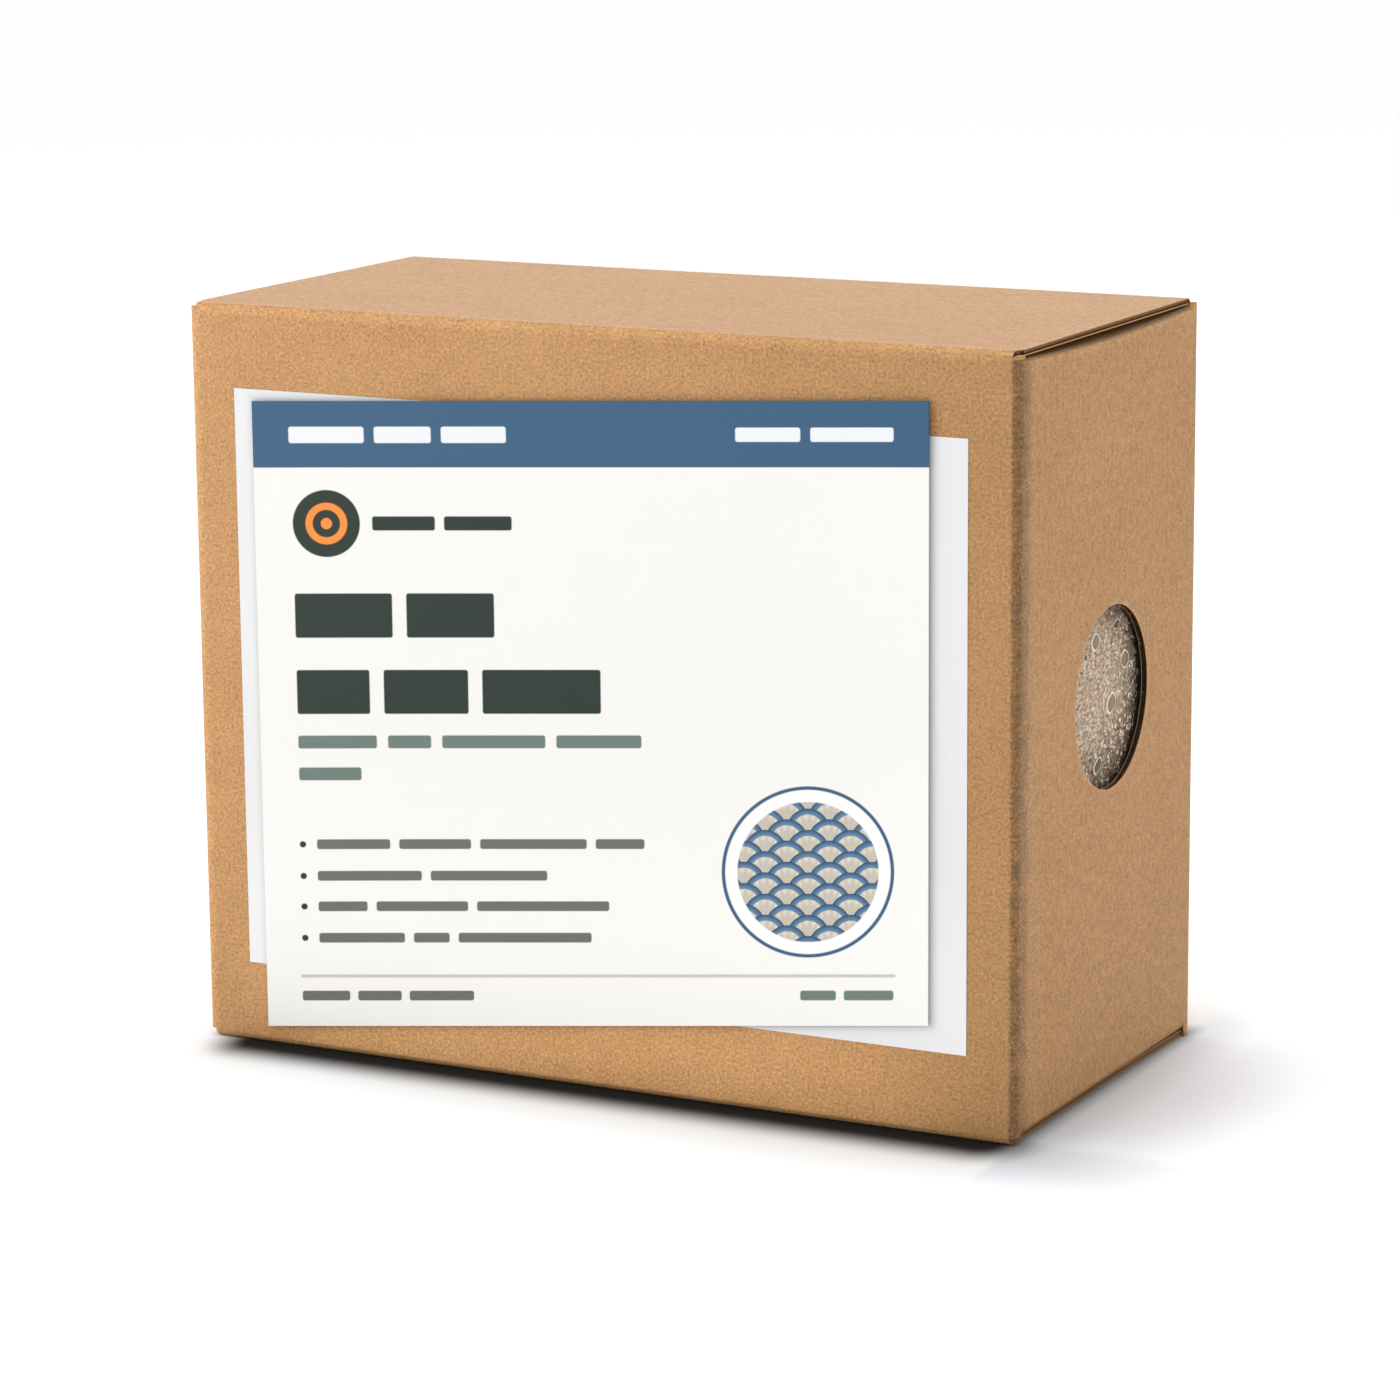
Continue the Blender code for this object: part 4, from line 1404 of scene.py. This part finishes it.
# Print, in its own units: PRINT_WIDE across the card and PRINT_TALL down it
PRINT_LEFT, PRINT_WIDE, PRINT_FOOT, PRINT_TALL = 263, 666, 1026, 625
BAND_FOOT = 466
BAND_BARS = bar_line(434, 16, 298, 372, 382, 438, 448, 512) + bar_line(434, 14, 738, 802, 812, 894)
MARK = (333, 521)
MARK_RADIUS, MARK_RING, MARK_DOT = 33, (17, 7), 5.5
INK_BARS = bar_line(521, 14, 378, 440, 449, 516)
TITLE_BARS = bar_line(612, 44, 300, 396, 410, 497) + bar_line(688, 44, 300, 372, 386, 470, 484, 602)
SUBTITLE_BARS = bar_line(738, 13, 300, 378, 389, 432, 443, 546, 557, 642) + bar_line(770, 13, 300, 362)
POINT_LEVELS = (841, 873, 904, 936)
POINT_MARKS = (
    (316, 389, 398, 470, 479, 586, 595, 644),
    (316, 420, 429, 546),
    (316, 365, 374, 466, 475, 608),
    (316, 402, 411, 447, 456, 590),
)
FOOTER_RULE = (297, 896, 975, 3.2, 1)
FOOTER_LEFT = bar_line(995, 10, 298, 346, 354, 398, 406, 471)
FOOTER_RIGHT = bar_line(995, 10, 800, 836, 844, 894)
PICTURE = (808, 869.5, 85)


def scallops(art, x, y, radius, dark, pale):
    """Rows of overlapping fans inside a round picture: a blue rim on each, fine ribs on its cream inside."""
    finish = art.finish
    step = radius / 1.65
    reach = step / 2
    tone = None
    for ahead in range(3):
        line = ((art.down - y) / (reach / 2)).whole() + ahead
        shift = (line * 0.5 - (line * 0.5).whole()) * step
        column = ((art.across - x - shift) / step + 0.5).whole()
        right = art.across - x - shift - column * step
        level = art.down - y - line * (reach / 2)
        away = (right * right + level * level).root() / reach
        ribs = (right / (abs(level) + reach * 0.3) * 16).wave() * 0.5 + 0.5
        inside = finish.mix(ribs * away.ramp(0.3, 0.6) * 0.35, pale, tuple(part * 0.4 for part in pale))
        inside = finish.mix(away.ramp(0.66, 0.35) * 0.45, inside, tuple(part * 0.45 for part in pale))
        rim = finish.mix(away.ramp(0.74, 0.96), (0.085, 0.165, 0.27), dark)
        fan = finish.mix(away.ramp(0.69, 0.73), inside, rim)
        fan = finish.mix(away.ramp(0.95, 0.98), fan, tuple(part * 0.35 for part in dark))
        over = away.ramp(1.0, 0.985)
        tone = fan if tone is None else finish.mix(over, tone, fan)
    art.paint(art.disc(x, y, radius), tone)


def printed_card(name, papers):
    """Cream card with a blue band, plain bars where words would stand, and a round patterned picture."""
    finish = Finish(name)
    place, (across, down, _) = finish.attribute("print_place")
    art = Artwork(finish, across, down, (*papers.card, 1.0))
    band, ink, soft_ink = tuple(papers.band), tuple(papers.ink), tuple(papers.soft_ink)
    accent = tuple(papers.accent)
    points = [bar for level, marks in zip(POINT_LEVELS, POINT_MARKS) for bar in bar_line(level, 10, *marks)]
    art.paint(art.below(BAND_FOOT), band)
    for bar in BAND_BARS:
        art.paint(art.bar(*bar) * 0.95, (0.67, 0.68, 0.69))
    for bar in TITLE_BARS + INK_BARS:
        art.paint(art.bar(*bar), ink)
    for bar in points + FOOTER_LEFT:
        art.paint(art.bar(*bar) * 0.86, ink)
    for bar in SUBTITLE_BARS + FOOTER_RIGHT:
        art.paint(art.bar(*bar), soft_ink)
    for level in POINT_LEVELS:
        art.paint(art.disc(302, level, 3.2), ink)
    art.paint(art.disc(*MARK, MARK_RADIUS), ink)
    art.paint(art.ring(*MARK, *MARK_RING), accent)
    art.paint(art.disc(*MARK, MARK_DOT), accent)
    art.paint(art.bar(*FOOTER_RULE), tuple(papers.rule))
    x, y, radius = PICTURE
    art.paint(art.disc(x, y, radius), (0.69, 0.69, 0.69))
    scallops(art, x, y, radius - 14, band, (0.55, 0.50, 0.42))
    art.paint(art.ring(x, y, radius, 3.6), band)
    tooth = finish.spots(place, 0.9, detail=2)
    # painted light: lighter towards the right and towards the bottom
    painted_light = across * 0.00017 + down.ramp(680, 1060) * 0.1 + 0.89
    body = finish.tint(art.tone, painted_light + (tooth - 0.5) * 0.02)
    relief = finish.bump(tooth, 0.006 * MM, 0.4)
    sockets = {"Base Color": body, "Roughness": 0.42, "Normal": relief, "Specular IOR Level": 0.3}
    return finish.surface(sockets)


def paper_sheet(name, columns, rows, face, thickness):
    """A sheet whose front face is given place by place, with its edges and its back."""
    fronts = [face(column, row) for row in rows for column in columns]
    verts = fronts + [place + BACKWARD * thickness for place in fronts]
    wide, count = len(columns), len(fronts)
    faces = []
    for row in range(len(rows) - 1):
        for column in range(wide - 1):
            corner = row * wide + column
            quad = (corner, corner + 1, corner + wide + 1, corner + wide)
            faces.append(quad)
            faces.append(tuple(count + i for i in reversed(quad)))
    last = (len(rows) - 1) * wide
    rim = list(range(wide)) + [row * wide + wide - 1 for row in range(1, len(rows))]
    rim += [last + column for column in reversed(range(wide - 1))]
    rim += [row * wide for row in reversed(range(1, len(rows) - 1))]
    for i, j in zip(rim, rim[1:] + rim[:1]):
        faces.append((j, i, count + i, count + j))
    mesh = bpy.data.meshes.new(name)
    mesh.from_pydata(verts, [], faces)
    mesh.polygons.foreach_set("use_smooth", [True] * len(faces))
    sharpen(mesh, 0.6)
    return mesh


def front_at(x, z, depth):
    """The carton's front face at a place, as it has settled."""
    place = Vector((x, -HALF_D, z))
    return settled(place, FORWARD, depth).y


class MESH_OT_grow_kit_papers(bpy.types.Operator):
    """Lays the plain backing label and the printed card on the front"""

    bl_idname = "mesh.grow_kit_papers"
    bl_label = "Papers"

    def execute(self, context):
        papers = context.scene.grow_kit_papers
        depth = context.scene.grow_kit_board.settle

        def backing_face(x, z):
            return Vector((x, front_at(x, z, depth) - BACKING_THICK - BACKING_LIFT, z))

        columns = spread([-BACKING_HALF_X, BACKING_HALF_X], 4 * MM)
        rows = spread([BACKING_BOTTOM, BACKING_TOP], 4 * MM)
        mesh = paper_sheet("backing_paper", columns, rows, backing_face, BACKING_THICK)
        keep_on_points(mesh, "rest_place", [vert.co for vert in mesh.vertices])
        finish = finish_of("white_label_paper", plain_paper, tuple(papers.backing))
        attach(add_piece("backing_paper", mesh, [finish], ["backing_label"]), "carton")

        prints = []
        squeeze = (CARD_LEFT_Z[1] - CARD_LEFT_Z[0]) / (CARD_RIGHT_Z[1] - CARD_RIGHT_Z[0]) - 1

        def card_face(s, t):
            low = CARD_LEFT_Z[0] + (CARD_RIGHT_Z[0] - CARD_LEFT_Z[0]) * s
            high = CARD_LEFT_Z[1] + (CARD_RIGHT_Z[1] - CARD_LEFT_Z[1]) * s
            x = CARD_LEFT + (CARD_RIGHT - CARD_LEFT) * s
            z = low + (high - low) * t
            edge = min(1.0, max(abs(s - 0.5), abs(t - 0.5)) * 2)
            lift = CARD_LIFT + CARD_CURL * edge**4
            y = max(CARD_FACE_Y, backing_face(x, z).y - CARD_THICK - lift)
            shown = s / (1 + squeeze - squeeze * s)
            prints.append((PRINT_LEFT + PRINT_WIDE * shown, PRINT_FOOT - PRINT_TALL * t, 0.0))
            return Vector((x, y, z))

        shares = [part / CARD_STEPS for part in range(CARD_STEPS + 1)]
        mesh = paper_sheet("printed_sheet", shares, shares, card_face, CARD_THICK)
        keep_on_points(mesh, "print_place", prints * 2)
        finish = finish_of("printed_cream_card", printed_card, papers)
        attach(add_piece("printed_sheet", mesh, [finish], ["printed_card"]), "carton")
        return {"FINISHED"}


def pale_floor(name, tone):
    """Matt white floor: deep shade in a narrow band at the carton's foot, a soft one past its right end."""
    finish = Finish(name)
    _, (across, along, _) = finish.attribute("floor_place")
    past_left = (across * -1 - (HALF_W - 14 * MM)).most(0) * 1.4
    past_front = (abs(along) - HALF_D).most(0)

    def from_foot(past_end):
        return (past_end * past_end + past_front * past_front).root() / MM

    away = from_foot(past_left.most(across - (HALF_W - 9 * MM)))
    deep = away.ramp(3.5, 18.5) * 0.735 + away.ramp(12.0, 32.0) * 0.12 + away.ramp(22.0, 80.0) * 0.135 + 0.01
    away = from_foot(past_left.most((across - (HALF_W - 1 * MM)) * 2))
    thin = away.ramp(-2.0, 10.0) * 0.55 + away.ramp(6.0, 36.0) * 0.17 + 0.28
    in_front = along.ramp(-HALF_D + 9 * MM, -HALF_D)
    light = thin + (deep - thin) * in_front
    past_right = across.ramp(HALF_W - 2 * MM, HALF_W + 2 * MM)
    beside = across.ramp(HALF_W + 52 * MM, HALF_W + 8 * MM) * past_right
    beside = beside * along.ramp(-HALF_D - 34 * MM, -HALF_D - 6 * MM) * along.ramp(HALF_D + 30 * MM, -4 * MM)
    light = light * (1 - beside * 0.24)
    # painted cooler light on the floor past the right end
    cooler = past_right * across.ramp(HALF_W + 110 * MM, HALF_W + 45 * MM)
    body = finish.tint(finish.mix(cooler, tone, (0.925, 0.945, 0.988)), light)
    return finish.surface({"Base Color": body, "Roughness": 0.9, "Specular IOR Level": 0.1})


# Soft lights, as name, setting, place and size in metres
LIGHT_AIM = Vector((0.0, 0.0, 0.09))
LIGHTS = (
    ("key_softbox", "key", (-0.46, -0.62, 0.33), (0.45, 0.42)),
    ("side_softbox", "side", (-0.5, -0.25, 0.22), (0.4, 0.4)),
    ("high_softbox", "high", (0.0, 0.0, 1.4), (1.2, 1.2)),
    ("rear_softbox", "rear", (-0.5, 1.3, 0.45), (1.2, 0.6)),
)


def soft_light(name, power_now, place, size):
    data = bpy.data.lights.new(name, "AREA")
    data.shape = "RECTANGLE"
    data.size, data.size_y = size
    data.energy = power_now
    light = bpy.data.objects.new(name, data)
    light.location = place
    light.rotation_euler = (LIGHT_AIM - Vector(place)).to_track_quat("-Z", "Y").to_euler()
    bpy.context.scene.collection.objects.link(light)


# Camera: its turns, and how far it stands off, to the side and up, by the carton's width
CAMERA_YAW = math.radians(-27.38)
CAMERA_PITCH = math.radians(11.89)
CAMERA_ROLL = math.radians(0.46)
WIDTH = 216 * MM
CAMERA_AWAY, CAMERA_SIDE, CAMERA_LIFT = 5.493 * WIDTH, 0.0044 * WIDTH, 0.3787 * WIDTH
FLOOR_REACH, FLOOR_Z = 12.0, -0.05 * MM


class SCENE_OT_grow_kit_stage(bpy.types.Operator):
    """Sets the pale floor, the soft lights, the white surroundings and the camera"""

    bl_idname = "scene.grow_kit_stage"
    bl_label = "Stage"

    def execute(self, context):
        stage = context.scene.grow_kit_stage
        mesh = bpy.data.meshes.new("floor")
        corners = [(x * FLOOR_REACH, y * FLOOR_REACH, 0) for x, y in ((-1, -1), (1, -1), (1, 1), (-1, 1))]
        mesh.from_pydata([(x, y, FLOOR_Z) for x, y, _ in corners], [], [(0, 1, 2, 3)])
        keep_on_points(mesh, "floor_place", corners)
        mesh.materials.append(finish_of("pale_floor", pale_floor, tuple(stage.floor)))
        floor = bpy.data.objects.new("floor", mesh)
        context.scene.collection.objects.link(floor)

        world = bpy.data.worlds.new("white_room")
        world.use_nodes = True
        back = world.node_tree.nodes["Background"]
        back.inputs["Color"].default_value = (1.0, 1.0, 1.0, 1.0)
        back.inputs["Strength"].default_value = stage.fill
        context.scene.world = world
        for name, setting, place, size in LIGHTS:
            soft_light(name, getattr(stage, setting), place, size)
        self.camera(context, stage.lens)
        context.scene.view_settings.view_transform = "Standard"
        return {"FINISHED"}

    def camera(self, context, lens):
        turn = Matrix.Rotation(CAMERA_YAW, 3, "Z")
        right = Vector((1, 0, 0)) @ turn
        ahead = Vector((0, math.cos(CAMERA_PITCH), -math.sin(CAMERA_PITCH))) @ turn
        up = Vector((0, math.sin(CAMERA_PITCH), math.cos(CAMERA_PITCH))) @ turn
        data = bpy.data.cameras.new("camera")
        data.lens = lens
        data.sensor_width = 36.0
        data.dof.use_dof = False
        camera = bpy.data.objects.new("camera", data)
        across = right * math.cos(CAMERA_ROLL) - up * math.sin(CAMERA_ROLL)
        upward = right * math.sin(CAMERA_ROLL) + up * math.cos(CAMERA_ROLL)
        place = right * CAMERA_SIDE + up * CAMERA_LIFT - ahead * CAMERA_AWAY
        matrix = Matrix((across, upward, -ahead)).transposed().to_4x4()
        matrix.translation = place
        camera.matrix_world = matrix
        context.scene.collection.objects.link(camera)
        context.scene.camera = camera


class VIEW3D_PT_grow_kit(bpy.types.Panel):
    bl_label = "Grow Kit"
    bl_idname = "VIEW3D_PT_grow_kit"
    bl_space_type = "VIEW_3D"
    bl_region_type = "UI"
    bl_category = "Grow Kit"

    def draw(self, context):
        for operator in OPERATORS:
            self.layout.operator(operator.bl_idname)
        for name in SETTINGS:
            box = self.layout.box()
            group = getattr(context.scene, name)
            for part in group.__annotations__:
                box.prop(group, part)


SETTINGS = {
    "grow_kit_board": GrowKitBoard,
    "grow_kit_papers": GrowKitPapers,
    "grow_kit_growth": GrowKitGrowth,
    "grow_kit_stage": GrowKitStage,
}
OPERATORS = (
    MESH_OT_grow_kit_carton,
    MESH_OT_grow_kit_lid,
    MESH_OT_grow_kit_block,
    MESH_OT_grow_kit_bag,
    MESH_OT_grow_kit_water,
    MESH_OT_grow_kit_papers,
    SCENE_OT_grow_kit_stage,
)


def register():
    for kind in (*SETTINGS.values(), *OPERATORS, VIEW3D_PT_grow_kit):
        bpy.utils.register_class(kind)
    for name, kind in SETTINGS.items():
        setattr(bpy.types.Scene, name, PointerProperty(type=kind))


def unregister():
    for name in SETTINGS:
        delattr(bpy.types.Scene, name)
    for kind in reversed((*SETTINGS.values(), *OPERATORS, VIEW3D_PT_grow_kit)):
        bpy.utils.unregister_class(kind)


def main():
    register()
    bpy.ops.mesh.grow_kit_carton()
    bpy.ops.mesh.grow_kit_lid()
    bpy.ops.mesh.grow_kit_block()
    bpy.ops.mesh.grow_kit_bag()
    bpy.ops.mesh.grow_kit_water()
    bpy.ops.mesh.grow_kit_papers()
    bpy.ops.scene.grow_kit_stage()


if __name__ == "__main__":
    main()
